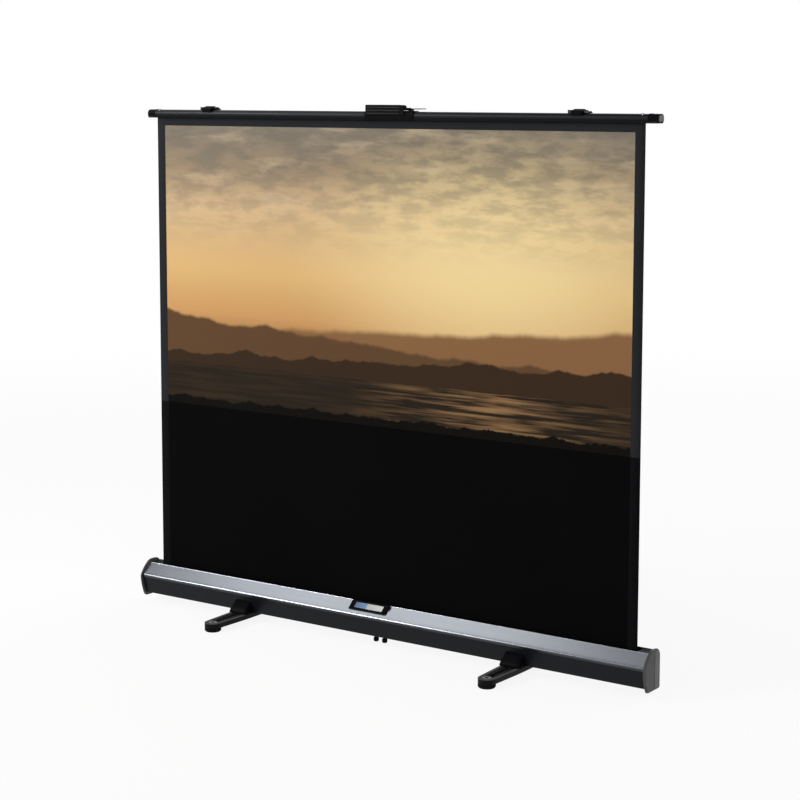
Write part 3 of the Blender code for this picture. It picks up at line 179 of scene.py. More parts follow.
# Top bar
BAR_WALL = 0.0018
BAR_RADIUS = 0.012
BAR_GROOVE_DEPTH = 0.001
BAR_GROOVE_HEIGHT = 0.0014
BAR_GROOVE_RISE = 0.0105
BAR_LIP_RISE = 0.004
BAR_SLOT = 0.003
# Painted shade: a black strip laid where the bar's lower front falls into shade
SHADE_STRIP_THICKNESS = 0.0007
SHADE_STRIP_HEIGHTS = (0.0006, 0.01)
SLEEVE_RADII = (0.01, 0.01, 0.0128, 0.0128)
SLEEVE_LIP = 0.0008
SLEEVE_ROUND = 0.003
SLEEVE_BAND = 0.0045
END_PLATE_INSET = 0.0056
END_PLATE_RISE = 0.0014

# Handle and latches
GRIP_TRUNNION_REACH = 0.0043
COVER_THICKNESS = 0.0032
COVER_OVERHANG = 0.014
COVER_BITE = 0.004
COVER_TOP_RISE = 0.0006
COVER_SLOPE = ((0, 0.0012), (0.0015, 0), (0.128, 0), (0.138, 0.0035), (0.144, 0.009))
RIB_RADIUS = 0.0016
RIB_COUNT = 3
RIB_ENDS = (0.004, 0.017)
THUMB_SPAN = (0.015, 0.006)
THUMB_HEIGHT = 0.002
THUMB_RIDGE = 0.0015
THUMB_RIDGES = 4
THUMB_RIDGE_SHARES = (0.35, 0.65)
THUMB_SLOPE = 0.004
THUMB_DEPTH = (0.0025, 0.018)
APRON_FRONT = 0.0025
APRON_BACK = 0.0047
APRON_BOTTOM = 0.0075
APRON_ROOF = (0.0008, 0.008)
APRON_REAR = 0.0125
LATCH_STOP_LENGTH = 0.0032
LATCH_STOP_HEIGHT = 0.003

# Feet
PAD_RIBS = 24
PAD_STEPS = 4 * PAD_RIBS
PAD_RIB_DEPTH = 0.0016
PAD_PROFILE = ((0, 0.0042), (0.0016, 0.0018), (0.0046, 0.0004), (0.0088, 0), (0.0112, 0.0006),
               (0.0127, 0.0018))
EYELET_RADIUS = 0.0048
EYELET_HOLE = 0.0031
EYELET_DEPTH = 0.0026
EYELET_DROP = 0.0002
SEAT_REACH = 0.193
FOOT_RIB_WIDTH = 0.003
FOOT_RIB_RISE = 0.0011
FOOT_RIB_SPAN = (0.074, 0.168)
FOOT_RIB_OFFSETS = (-0.01, 0.01)
FOOT_RECESS_DEPTH = 0.0015
FAIRING_LEVELS = 10
FAIRING_REACH = 0.041
FAIRING_CURVE = 1.6
FAIRING_HALVES = (0.038, 0.031)
FAIRING_CORNER = 0.011
FAIRING_CORNER_SHARE = 0.7
BOSS_X = 0.527
BOSS_RADIUS = 0.0125
FACET_LOW = Vector((-0.0267, 0.0295))
COLLAR_PROFILE = ((0.0082, 0), (0.0098, 0.0012), (0.0098, 0.0042))
COLLAR_HEIGHT = 0.0244
STUB_PLATE_MARGIN = Vector((0.006, 0.0045))
STUB_PLATE_HEIGHTS = (0.0266, 0.0291)
TIP_PROFILE = ((0.0058, 0), (0.0078, 0.0012), (0.0087, 0.004), (0.0087, 0.0105), (0.008, 0.0125))

# Camera that matches the photograph
CAMERA_PLACE = (3.50808, -4.98576, 1.76633)
CAMERA_YAW = math.radians(35.171)
CAMERA_DIP = math.radians(6.787)
CAMERA_LENS_MM = 88.155
CAMERA_SHIFT = (0.02817, -0.1)

# Studio, with each lamp's name, place, aim, size and power in watts
FLOOR_HALF = 30
FLOOR_TONES = ((0.86, 0.86, 0.86), (0.88, 0.88, 0.88))
BRIGHT_RADIUS = 2.2
FADE_RADIUS = 8
NEAR_WHITE_SHARE = 0.88
DIM_CORNER = (-0.45, -0.19, 0.87)
DIM_EDGES = (0.8, 0.94)
DIM_LEVEL = -0.55
UNSEEN_LEVEL = 0.45
WHITE = (1, 1, 1)
LAMPS = (("key", (-4.35, -4.5, 3.6), (0, 0, 0.7), (1.8, 1.3), 220),
         ("fill", (3.6, -3.4, 2.6), (0, 0, 0.8), (4, 4), 45),
         ("rear", (0.5, 4, 3.2), (0, 0, 0.8), (4, 4), 60),
         ("panel", (-1.95, -0.7, 3.2), (-0.4, -0.05, 0.1), (2.2, 1.8), 22))

CASE = "case"
SIDES = ((-1, "left"), (1, "right"))
nodes = frame["nodes"]
slot_of = {part["node"]: part["material_slot"] for part in frame["record"]["subparts"]}


def tone(colour, factor=1):
    """A colour times a factor, opaque."""
    return (*(part * factor for part in colour[:3]), 1)


class Wiring:
    """Shorthands for wiring a tree of nodes, on one source of coordinates."""

    def __init__(self, tree, source):
        self.tree = tree
        self.source = source

    def feed(self, socket, value):
        if isinstance(value, bpy.types.NodeSocket):
            self.tree.links.new(value, socket)
        else:
            socket.default_value = tone(value) if socket.type == "RGBA" else value

    def node(self, kind, inputs=None, **settings):
        """A new node with its settings, then its inputs by name or number."""
        made = self.tree.nodes.new(kind)
        for key, value in settings.items():
            setattr(made, key, value)
        for key, value in (inputs or {}).items():
            self.feed(made.inputs[key], value)
        return made

    def math(self, operation, first, second=0, clamp=False):
        inputs = {0: first, 1: second}
        return self.node("ShaderNodeMath", inputs, operation=operation, use_clamp=clamp).outputs[0]

    sum = partialmethod(math, "ADD")
    less = partialmethod(math, "SUBTRACT")
    times = partialmethod(math, "MULTIPLY")
    larger = partialmethod(math, "MAXIMUM")
    size = partialmethod(math, "ABSOLUTE")

    def place(self, stretch=(1, 1, 1)):
        coordinates = self.node("ShaderNodeTexCoord").outputs[self.source]
        return self.node("ShaderNodeMapping", {"Vector": coordinates, "Scale": stretch}).outputs[0]

    def axes(self):
        return self.node("ShaderNodeSeparateXYZ", {0: self.place()}).outputs[:]

    def noise(self, scale, stretch=(1, 1, 1), detail=3, roughness=0.5):
        inputs = {"Vector": self.place(stretch), "Scale": scale, "Detail": detail, "Roughness": roughness}
        return self.node("ShaderNodeTexNoise", inputs).outputs["Fac"]

    def span(self, value, low, high, out_low=0, out_high=1, smooth=False):
        inputs = {"Value": value, "From Min": low, "From Max": high, "To Min": out_low, "To Max": out_high}
        kind = "SMOOTHSTEP" if smooth else "LINEAR"
        return self.node("ShaderNodeMapRange", inputs, interpolation_type=kind).outputs["Result"]

    def wash(self, noise, out_low=0, out_high=1):
        """The usual middle of a noise, spread over a range."""
        return self.span(noise, *NOISE_MIDDLE, out_low, out_high)

    def mix(self, share, first, second):
        inputs = {"Factor": share, "A": first, "B": second}
        return self.node("ShaderNodeMix", inputs, data_type="RGBA").outputs["Result"]

    def ramp(self, value, stops):
        made = self.node("ShaderNodeValToRGB", {"Fac": value})
        elements = made.color_ramp.elements
        while len(elements) < len(stops):
            elements.new(0.5)
        for element, (place, colour) in zip(elements, stops):
            element.position = place
            element.color = tone(colour)
        return made.outputs["Color"]


class Paint(Wiring):
    """One material and its shader."""

    def __init__(self, name, metallic=0, specular=0.5, source="Object"):
        self.material = bpy.data.materials.new(name)
        self.material.use_nodes = True
        super().__init__(self.material.node_tree, source)
        self.shader = self.tree.nodes["Principled BSDF"]
        self.shade("Metallic", metallic)
        self.shade("Specular IOR Level", specular)
        self.heights = {}

    def shade(self, socket, value):
        self.feed(self.shader.inputs[socket], value)

    colour = partialmethod(shade, "Base Color")
    rough = partialmethod(shade, "Roughness")

    def bump(self, height, distance, strength):
        inputs = {"Strength": strength, "Distance": distance, "Height": height, **self.heights}
        self.heights = {"Normal": self.node("ShaderNodeBump", inputs).outputs["Normal"]}
        self.shade("Normal", self.heights["Normal"])


def drawn_metal(name, colour, metallic, roughness, along=DRAW_LINES, specular=0.5):
    """Extruded metal: fine draw lines along its length, slow patches in its finish and a few dull smears."""
    paint = Paint(name, metallic, specular)
    lines = paint.noise(1, along, 4, 0.6)
    patches = paint.noise(5, detail=4)
    smears = paint.noise(1, (3, 30, 30), 6, 0.65)
    base = paint.mix(paint.wash(patches), tone(colour, 0.9), tone(colour, 1.06))
    paint.colour(paint.mix(paint.span(lines, *DRAW_LINE_SHADES), base, tone(colour, 0.82)))
    paint.rough(paint.sum(paint.wash(lines, roughness - 0.06, roughness + 0.06),
                          paint.span(smears, 0.45, 0.75, 0, 0.1)))
    paint.bump(lines, DRAW_LINE_DEPTH, 0.5)
    return paint.material


def silver_strip(name, colour, painted_shade_tone):
    """The silver front's finish: drawn lines along it, and painted shade that darkens it to a dark tone round
    its lower edge.
    """
    paint = Paint(name, metallic=0.95)
    lines = paint.noise(1, DRAW_LINES, 4, 0.6)
    patches = paint.noise(1, (2, 12, 12), 5)
    x, y, z = paint.axes()
    fall = paint.sum(paint.times(paint.less(y, FACET_TOP.x), DOWNHILL.x),
                     paint.times(paint.less(z, FACET_TOP.y), DOWNHILL.y))
    # Painted shade: a smooth mask that darkens the silver and lowers its roughness towards its lower edge
    painted_edge_shade = paint.span(fall, FACET_LENGTH - PAINTED_SHADE_LENGTH, FACET_LENGTH + NOSE_LAP / 2, smooth=True)
    bright = paint.mix(paint.wash(patches), tone(colour, 0.92), tone(colour, 1.06))
    bright = paint.mix(paint.span(lines, *DRAW_LINE_SHADES), bright, tone(colour, 0.92))
    paint.colour(paint.mix(painted_edge_shade, bright, painted_shade_tone))
    rough = paint.sum(paint.wash(lines, 0.27, 0.33), paint.span(patches, 0.5, 0.8, 0, 0.06))
    paint.rough(paint.less(rough, paint.times(painted_edge_shade, 0.08)))
    paint.bump(lines, DRAW_LINE_DEPTH, 0.15)
    return paint.material


def foot_moulding(name, colour, pale):
    """The foot arms' moulding: painted highlight on its rim and in a ring round each screw eye, painted shade
    round the eye itself, and pale wear in scuffs.
    """
    paint = Paint(name, specular=0.07)
    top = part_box("foot_arm_left")[1].z
    x, y, z = paint.axes()
    away = [paint.less(paint.size(part), centre) for part, centre in ((x, BOSS_X), (y, SEAT_REACH))]
    distance = paint.math("SQRT", paint.sum(*(paint.times(part, part) for part in away)))
    # Painted shade: the arm top goes dark round each screw eye, where the hole lies in shade
    eye = paint.span(distance, *(EYELET_RADIUS * share for share in EYE_EDGE_SHARES), smooth=True)
    boss = paint.span(distance, BOSS_RADIUS, BOSS_RADIUS * BOSS_EDGE_SHARE, 1, 0, smooth=True)
    ring = paint.times(eye, boss)
    grains = paint.noise(GRAIN_SCALE, detail=2)
    scuffs = paint.noise(1, (60, 60, 90), 8, 0.7)
    # Painted highlight: a paler band along the top rim of the arm
    rim = paint.span(z, top - 2 * EDGE_WIDTH, top - EDGE_WIDTH, 0, 0.3)
    # Painted highlight in the ring and on the rim, together with real pale wear from the scuffs
    wear_and_highlight = paint.larger(paint.larger(ring, rim), paint.span(scuffs, 0.6, 0.78, 0, 0.25))
    paint.colour(paint.mix(eye, tone(colour, 0.2), paint.mix(wear_and_highlight, colour, pale)))
    paint.rough(paint.sum(paint.wash(grains, 0.36, 0.46), paint.span(scuffs, 0.55, 0.75, 0, 0.1)))
    paint.bump(grains, GRAIN_DEPTH, 0.6)
    paint.bump(ring, EYE_RING_DEPTH, 0.8)
    return paint.material


def moulded_plastic(name, colour, roughness, specular):
    """Moulded plastic: fine spark grain, slow shade drift and a little dust in its paler patches."""
    paint = Paint(name, specular=specular)
    grains = paint.noise(GRAIN_SCALE, detail=2)
    drift = paint.noise(14, detail=5, roughness=0.6)
    scuffs = paint.noise(1, (40, 90, 60), 8, 0.7)
    base = paint.mix(paint.wash(drift), tone(colour, 0.9), tone(colour, 1.25))
    paint.colour(paint.mix(paint.span(scuffs, 0.62, 0.78, 0, 0.3), base, tone(colour, 2)))
    paint.rough(paint.sum(paint.wash(grains, roughness - 0.05, roughness + 0.05),
                          paint.span(scuffs, 0.55, 0.75, 0, 0.12)))
    paint.bump(grains, GRAIN_DEPTH, 0.6)
    return paint.material


def plated_steel(name, colour, roughness):
    """Zinc plated steel: cloudy crystals and fine scratches."""
    paint = Paint(name, metallic=1)
    cloud = paint.noise(60, detail=6, roughness=0.7)
    scratch = paint.noise(1, (900, 60, 900))
    paint.colour(paint.mix(paint.span(cloud, 0.35, 0.65), tone(colour, 0.78), tone(colour, 1.1)))
    paint.rough(paint.sum(paint.wash(cloud, roughness - 0.08, roughness + 0.1),
                          paint.span(scratch, 0.55, 0.8, 0, 0.12)))
    paint.bump(scratch, SCRATCH_DEPTH, 0.4)
    return paint.material


def rubber(name, colour):
    """Soft rubber: dull, slightly mottled, with a chalky bloom."""
    paint = Paint(name, specular=0.08)
    bloom = paint.noise(45, detail=7, roughness=0.7)
    pores = paint.noise(700, detail=2)
    paint.colour(paint.mix(paint.span(bloom, 0.4, 0.75), colour, tone(colour, 1.9)))
    paint.rough(paint.wash(bloom, 0.68, 0.86))
    paint.bump(pores, PORE_DEPTH, 0.5)
    return paint.material


def weave(paint, depth):
    """The fine cross weave under the cloth's coating, on coordinates that stay with the cloth."""
    inputs = {"Vector": paint.place(), "Distortion": 0.4, "Scale": FULL_TURN / (BAND_RATE * WEAVE_PITCH)}
    threads = [paint.node("ShaderNodeTexWave", inputs, bands_direction=axis) for axis in "XY"]
    paint.bump(paint.sum(*(thread.outputs["Fac"] for thread in threads)), depth, 0.35)


def cloth_back(name):
    """The opaque black coating on the back and in the borders."""
    paint = Paint(name, specular=0.12, source="UV")
    drift = paint.noise(3, detail=5)
    paint.colour(paint.mix(drift, *COATING_TONES))
    paint.rough(paint.wash(drift, 0.62, 0.76))
    weave(paint, WEAVE_DEPTHS[0])
    return paint.material


def under_ridge(paint, across, height, base, slope, swing, pace, detail, roughness, blur_low, blur_high):
    """Whether a place of the view lies under a wandering ridge line, blurred a little."""
    line = paint.times(paint.noise(pace, (1, 0, 0), detail, roughness), swing * 2)
    line = paint.sum(paint.sum(line, paint.times(across, slope)), base - swing)
    return paint.span(paint.less(line, height), blur_low, blur_high, smooth=True)


def dusk_picture(name, half_width, top):
    """The cloth's front: black border and drop round a made-up view of a lake under low hills at dusk."""
    paint = Paint(name, specular=0.03, source="UV")
    across, height, depth = paint.axes()
    rise = paint.span(height, PICTURE_FLOOR, top - TOP_BORDER)
    view = paint.ramp(rise, SKY_STOPS)
    # A wide glow low in the sky, right of the middle
    away = [paint.times(paint.less(place, centre), narrowing)
            for place, centre, narrowing in zip((across, height), GLOW_PLACE, GLOW_NARROWING)]
    near = paint.less(1, paint.sum(*(paint.times(part, part) for part in away)), clamp=True)
    view = paint.mix(paint.times(paint.math("POWER", near, 2.2), 0.72), view, GLOW_TONE)
    # Long clouds, thicker towards the top
    billows = paint.span(paint.noise(2.6, (3, 9, 1), 8, 0.62), 0.38, 0.62, smooth=True)
    view = paint.mix(paint.times(paint.span(rise, 0.55, 0.95, 0, 0.75), billows), view, CLOUD_TONE)
    streaks = paint.span(paint.noise(1.9, (1.6, 7, 1), 7, 0.6), 0.52, 0.72, smooth=True)
    view = paint.mix(paint.times(paint.span(rise, 0.45, 0.8, 0, 0.35), streaks), view, GLEAM_TONE)
    # Still water with the glow lying on it in broken bands
    ripples = paint.span(paint.noise(1.6, (2.2, 46, 1), 5), 0.44, 0.64)
    off = paint.size(paint.less(across, GLOW_PLACE[0]))
    water = paint.mix(paint.times(ripples, paint.span(off, 0, GLOW_REACH, 0.8, 0.04)), *WATER_TONES)
    # Hills, far to near, then the water up to its shore and the bank before it
    for ridge, cover in (*HILLS, (SHORE, water), NEAR_BANK):
        view = paint.mix(under_ridge(paint, across, height, *ridge), view, cover)
    # The black drop under the picture, and the slightly greyer border round it
    below = paint.math("LESS_THAN", height, PICTURE_FLOOR)
    drift = paint.noise(2, detail=4)
    view = paint.mix(below, view, paint.mix(drift, *DROP_TONES))
    sides = paint.math("GREATER_THAN", paint.size(across), half_width - SIDE_BORDER)
    over = paint.math("GREATER_THAN", height, top - TOP_BORDER)
    border = paint.mix(drift, *BORDER_TONES)
    view = paint.mix(sides, view, paint.mix(below, border, LOWER_BORDER_TONE))
    paint.colour(paint.mix(over, view, border))
    paint.rough(paint.wash(drift, 0.7, 0.84))
    weave(paint, WEAVE_DEPTHS[1])
    return paint.material


def enamel(name, deep, pale, along):
    """A glossy enamelled field that shades a little across its length, with fine orange peel."""
    paint = Paint(name)
    paint.shade("Coat Weight", 0.4)
    peel = paint.noise(260, detail=2)
    cloud = paint.noise(40, detail=4)
    shade = paint.sum(paint.span(paint.axes()[0], *along), paint.wash(cloud, -0.12, 0.12), clamp=True)
    paint.colour(paint.mix(shade, deep, pale))
    paint.rough(paint.wash(cloud, 0.18, 0.3))
    paint.bump(peel, PEEL_DEPTH, 0.4)
    return paint.material


# Every finish by the record's slot names and a few more, in linear colours
paints = {
    "dark_metal": drawn_metal("charcoal_extrusion", (0.0052, 0.0062, 0.0088), 0, 0.34, specular=0.12),
    # The second colour is the dark tone of the painted shade round the silver's lower edge
    "silver_metal": silver_strip("silver_extrusion", (0.325, 0.343, 0.378), (0.042, 0.045, 0.052)),
    "bright_metal": drawn_metal("satin_arms", (0.34, 0.35, 0.37), 0.95, 0.38, along=(0.8, 200, 0.8)),
    "steel": plated_steel("plated_steel", (0.52, 0.52, 0.53), 0.34),
    "grey_plastic": moulded_plastic("grey_moulding", (0.05, 0.05, 0.052), 0.5, 0.3),
    # A paler copy of the grey moulding, as painted highlight on the end caps' rear steps
    "cap_highlight_grey": moulded_plastic("cap_highlight_moulding", (0.1, 0.1, 0.102), 0.5, 0.3),
    # A paler grey for the bar's end plates, as painted highlight
    "end_highlight_grey": moulded_plastic("end_plate_highlight_moulding", (0.06, 0.062, 0.064), 0.36, 0.4),
    "black_plastic": moulded_plastic("black_moulding", (0.002, 0.002, 0.0025), 0.44, 0.03),
    "ribbed_grip": moulded_plastic("grip_moulding", (0.01, 0.0112, 0.0108), 0.34, 0.16),
    # The pale colour serves both the painted highlights and the worn scuffs
    "foot_plastic": foot_moulding("foot_moulding", (0.0042, 0.0042, 0.0048), (0.3, 0.3, 0.31)),
    "rubber": rubber("rubber_feet", (0.003, 0.0031, 0.0031)),
    "fabric": cloth_back("cloth_black"),
    "blue_enamel": enamel("blue_field", (0.005, 0.03, 0.13), (0.07, 0.22, 0.44), BLUE_SPAN),
    "cream_enamel": enamel("cream_field", (0.4, 0.41, 0.39), (0.56, 0.56, 0.53), CREAM_SPAN),
}


def modify(piece, kind, **settings):
    modifier = piece.modifiers.new(kind, kind)
    for key, value in settings.items():
        setattr(modifier, key, value)


def soften(piece, width):
    """Bevels a piece's sharp edges, where it has a width for them, and weighs its normals."""
    if width:
        modify(piece, "BEVEL", width=width, segments=2, limit_method="ANGLE", angle_limit=EDGE_ANGLE)
    modify(piece, "WEIGHTED_NORMAL")


def dress_node(name, width=EDGE_WIDTH, finish=None, dissolve=True):
    """Gives a solid of the frame its finish and soft edges."""
    node = nodes[name]
    for entry in node.material_slots:
        entry.link = "OBJECT"
        entry.material = paints[finish or slot_of[name]]
    modify(node, "WELD", merge_threshold=MERGE_DISTANCE)
    if dissolve:
        modify(node, "DECIMATE", decimate_type="DISSOLVE", angle_limit=FLAT_ANGLE)
    soften(node, width)


def add_object(name, data):
    made = bpy.data.objects.new(name, data)
    bpy.context.scene.collection.objects.link(made)
    return made


def lay_uv(piece):
    """Coordinates for the cloth's finish, from its own x and z."""
    layer = piece.data.uv_layers.new(name="UVMap")
    for loop in piece.data.loops:
        corner = piece.data.vertices[loop.vertex_index].co
        layer.data[loop.index].uv = (corner.x, corner.z)


def arc(centre, radius, start, end, steps=ARC_STEPS):
    angles = [start + (end - start) * i / steps for i in range(steps + 1)]
    return [(centre[0] + radius * math.cos(a), centre[1] + radius * math.sin(a)) for a in angles]


def rounded(low, high, radii):
    """A rectangle with a radius at each corner, round from the corner low on both axes."""
    corners = ((low[0], low[1], 1, 1, math.pi), (high[0], low[1], -1, 1, -QUARTER_TURN),
               (high[0], high[1], -1, -1, 0), (low[0], high[1], 1, -1, QUARTER_TURN))
    outline = []
    for (x, y, way_x, way_y, start), radius in zip(corners, radii):
        outline += arc((x + way_x * radius, y + way_y * radius), radius, start, start + QUARTER_TURN)
    return outline


def inset(outline, distance):
    """An outline drawn in from its edge. It runs anticlockwise."""
    points = [Vector(pair) for pair in outline]
    drawn = []
    for before, here, after in zip(points[-1:] + points, points, points[1:] + points):
        normal = (here - before).normalized().orthogonal()
        middle = (normal + (after - here).normalized().orthogonal()).normalized()
        drawn.append(here + middle * distance / max(middle.dot(normal), SHARPEST_SHARE))
    return drawn


def thinned(outline):
    """An outline without the points that crowd closer than half the end caps' spacing."""
    kept = []
    for pair in outline:
        if not kept or math.dist(pair, kept[-1]) > CAP_SPACING / 2:
            kept.append(pair)
    if math.dist(kept[0], kept[-1]) < CAP_SPACING / 2:
        kept.pop()
    return kept


def past(outline, limit):
    """The part of an outline whose first coordinate is over a limit."""
    kept = []
    for i, pair in enumerate(outline):
        before = outline[i - 1]
        if (before[0] > limit) != (pair[0] > limit):
            share = (limit - before[0]) / (pair[0] - before[0])
            kept.append((limit, before[1] + (pair[1] - before[1]) * share))
        if pair[0] > limit:
            kept.append(pair)
    return kept


def drawn_rings(outline, levels):
    """Rings of an outline of y and z, each at its place along x and drawn in by its own distance."""
    return [[(x, y, z) for y, z in inset(outline, draw)] for x, draw in levels]


def facet_ring(corners, out):
    """A ring by pairs of x and the way down the silver facet from its top edge, held out from the facet."""
    return [(x, *(FACET_TOP + DOWNHILL * along + OUTWARD * out)) for x, along in corners]


def facet_block(span_x, span_along, span_out):
    """The rings of a block on the silver facet."""
    near, far = span_x
    top, bottom = span_along
    corners = ((near, top), (far, top), (far, bottom), (near, bottom))
    return [facet_ring(corners, out) for out in span_out]


class Shape:
    """Closed shells gathered into one piece."""

    def __init__(self):
        self.vertices = []
        self.faces = []

    def loft(self, rings, hollow=False):
        """Rings of equal count joined in order, closed at both ends or, if hollow, last to first."""
        count = len(rings[0])
        levels = len(rings)
        faces = [] if hollow else [list(range(count)), list(range((levels - 1) * count, levels * count))]
        for level in range(levels if hollow else levels - 1):
            low = level * count
            high = (level + 1) % levels * count
            for i in range(count):
                after = (i + 1) % count
                faces.append([low + i, low + after, high + after, high + i])
        first = len(self.vertices)
        self.vertices += [point for ring in rings for point in ring]
        self.faces += [[first + i for i in face] for face in faces]
        return self

    def prism(self, outline, low, high, axis="X"):
        """An outline pulled along an axis. It holds the other two axes in order."""
        at = "XYZ".index(axis)
        return self.loft([[(*pair[:at], depth, *pair[at:]) for pair in outline] for depth in (low, high)])

    def turned(self, centre, base, profile, hollow=False):
        """Pairs of radius and height over a base, turned about an upright axis through a centre."""
        rings = [[(*point, base + height) for point in arc(centre, radius, 0, FULL_TURN, ROUND_SIDES)[:-1]]
                 for radius, height in profile]
        return self.loft(rings, hollow)

    def piece(self, name, slot, body=CASE, finish=None):
        """A new piece of the scene that rides on a body, in its slot's finish or a closer one."""
        mesh = bpy.data.meshes.new(name)
        mesh.from_pydata(self.vertices, [], self.faces)
        mesh.validate()
        work = bmesh.new()
        work.from_mesh(mesh)
        bmesh.ops.recalc_face_normals(work, faces=work.faces)
        work.to_mesh(mesh)
        work.free()
        mesh.shade_smooth()
        mesh.materials.append(paints[finish or slot])
        made = add_object(name, mesh)
        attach(made, body)
        return made

    def make(self, name, slot, body=CASE, finish=None, edge=EDGE_WIDTH, stands_for=None):
        """A piece with soft edges, in place of a solid of the frame if it stands for one."""
        made = self.piece(name, slot, body, finish)
        soften(made, edge)
        if stands_for:
            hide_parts(stands_for)


def build_cloth():
    """The stretched cloth, a thin sheet with the picture on its front and black on its back."""
    low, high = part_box("fabric_sheet")
    half = (high.x - low.x) / 2
    columns = [half * (2 * column / CLOTH_COLUMNS - 1) for column in range(CLOTH_COLUMNS + 1)]
    rings = []
    for row in range(CLOTH_ROWS + 1):
        z = low.z + (high.z - low.z) * row / CLOTH_ROWS
        swing = CLOTH_WAVE * math.sin(math.pi * row / CLOTH_ROWS)
        waves = [(x, CLOTH_Y + swing * math.sin(FULL_TURN * x / CLOTH_WAVE_LENGTH + CLOTH_WAVE_DRIFT * z))
                 for x in columns]
        rings.append([(x, y - CLOTH_THICKNESS / 2, z) for x, y in waves]
                     + [(x, y + CLOTH_THICKNESS / 2, z) for x, y in reversed(waves)])
    sheet = Shape().loft(rings)
    # Each long thin end of the sheet is a row of small faces in place of one
    del sheet.faces[:2]
    for first in (0, len(sheet.vertices) - len(rings[0])):
        rim = range(first, first + len(rings[0]))
        sheet.faces += [[rim[i], rim[i + 1], rim[-2 - i], rim[-1 - i]] for i in range(CLOTH_COLUMNS)]
    cloth = sheet.piece("screen_cloth", "fabric")
    cloth.data.materials.append(dusk_picture("cloth_front", half, high.z))
    for polygon in cloth.data.polygons:
        polygon.use_smooth = abs(polygon.normal.y) > FACING_SHARE
        polygon.material_index = int(polygon.normal.y < -FACING_SHARE)
    lay_uv(cloth)
    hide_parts("fabric_sheet")
    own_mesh(cloth)


def build_wrapped_cloth():
    """The turns of cloth that stay on the roller, as one spiral."""
    low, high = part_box("fabric_roll")
    tube_low, tube_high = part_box("roller_tube")
    centre = (low + high) / 2
    inner = (tube_high.z - tube_low.z) / 2 + TOUCH_GAP
    outer = (high.z - low.z) / 2
    skin = CLOTH_THICKNESS / 2
    count = int(WRAP_TURNS * WRAP_STEPS)
    rings = []
    for i in range(count + 1):
        angle = -FULL_TURN * i / WRAP_STEPS
        out = outer - (outer - inner - skin) * i / count
        corners = ((low.x, out), (high.x, out), (high.x, out - skin), (low.x, out - skin))
        rings.append([(x, centre.y + radius * math.cos(angle), centre.z + radius * math.sin(angle))
                      for x, radius in corners])
    wrap = Shape().loft(rings).piece("cloth_on_roll", "fabric", "roller")
    lay_uv(wrap)
    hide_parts("fabric_roll")


def build_fascia():
    """The silver front: a flat facet with a small lip at the top and a nose rolled over along the ridge."""
    low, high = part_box("front_fascia")
    face = [FACET_TOP + DOWNHILL * LIP_LENGTH * share + OUTWARD * LIP_RISE * math.sin(math.pi * share)
            for share in (i / ARC_STEPS for i in range(ARC_STEPS + 1))]
    start = FACET_TOP + DOWNHILL * (FACET_LENGTH - NOSE_LENGTH) + OUTWARD * NOSE_LIFT
    skin = -NOSE_FALL.orthogonal() * NOSE_SKIN
    end = FACET_RIDGE + NOSE_FALL * NOSE_LAP + skin
    first = start + (start - FACET_TOP).normalized() * NOSE_PULL
    second = end - NOSE_FALL * NOSE_PULL
    face += geometry.interpolate_bezier(start, first, second, end, NOSE_STEPS + 1)
    back = [end - skin / 2, FACET_RIDGE + skin / 2, FACET_RIDGE - OUTWARD * FASCIA_WALL,
            FACET_TOP - OUTWARD * FASCIA_WALL]
    front = Shape().prism(face + back, low.x, high.x)
    front.make("fascia_face", "silver_metal", edge=KEEN_EDGE, stands_for="front_fascia")


def plate_ring(low, high, draw, out):
    radius = PLATE_RING_CORNER - min(draw, PLATE_RING_CORNER) / 2
    corners = rounded((low[0] + draw, low[1] + draw), (high[0] - draw, high[1] - draw), [radius] * 4)
    return facet_ring(corners, out)


def build_plate():
    """The blank plate: a bevelled black ring, a blue and a cream field in it, and a hook at its right end."""
    box_low, box_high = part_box("front_plate")
    surface = max((v.co.yz - FACET_TOP).dot(OUTWARD) for v in nodes["front_plate"].data.vertices)
    sunk = surface - TOUCH_GAP
    crest = surface + PLATE_RING_RISE
    low = (box_low.x, (box_high.yz - FACET_TOP).dot(DOWNHILL) + EDGE_WIDTH)
    high = (box_high.x, (box_low.yz - FACET_TOP).dot(DOWNHILL))
    within = (low[1] + PLATE_RING_WIDTH, high[1] - PLATE_RING_WIDTH)
    ring = Shape().loft([plate_ring(low, high, draw, out) for draw, out in (
        (EDGE_WIDTH, sunk), (EDGE_WIDTH, surface + PLATE_RING_RISE / 2),
        (PLATE_RING_WIDTH / 3, crest), (PLATE_RING_WIDTH * 2 / 3, crest),
        (PLATE_RING_WIDTH, surface + TOUCH_GAP), (PLATE_RING_WIDTH, sunk))], hollow=True)
    for end, way in ((low[0], 1), (high[0], -1)):
        ring.loft(facet_block((end + way * PLATE_RING_WIDTH / 2, end + way * PLATE_END_WIDTH), within,
                              (sunk, surface + PLATE_END_RISE)))
    ring.make("plate_ring", "black_plastic", edge=CRISP_EDGE)
    left = low[0] + PLATE_END_WIDTH
    right = high[0] - PLATE_END_WIDTH
    split = left + (right - left) * PLATE_BLUE_SHARE
    for colour, near, far in (("blue", left, split), ("cream", split, right)):
        field = Shape().loft(facet_block((near, far), within, (sunk, surface + PLATE_FIELD_RISE)))
        field.make("plate_field_" + colour, "grey_plastic", CASE, colour + "_enamel", CRISP_EDGE)
    width, depth, rise = PLATE_HOOK
    hook = Shape().loft(facet_block((high[0] - width, high[0] + width / 3), (low[1], low[1] + depth),
                                    (surface, crest + rise)))
    hook.make("plate_hook", "black_plastic")


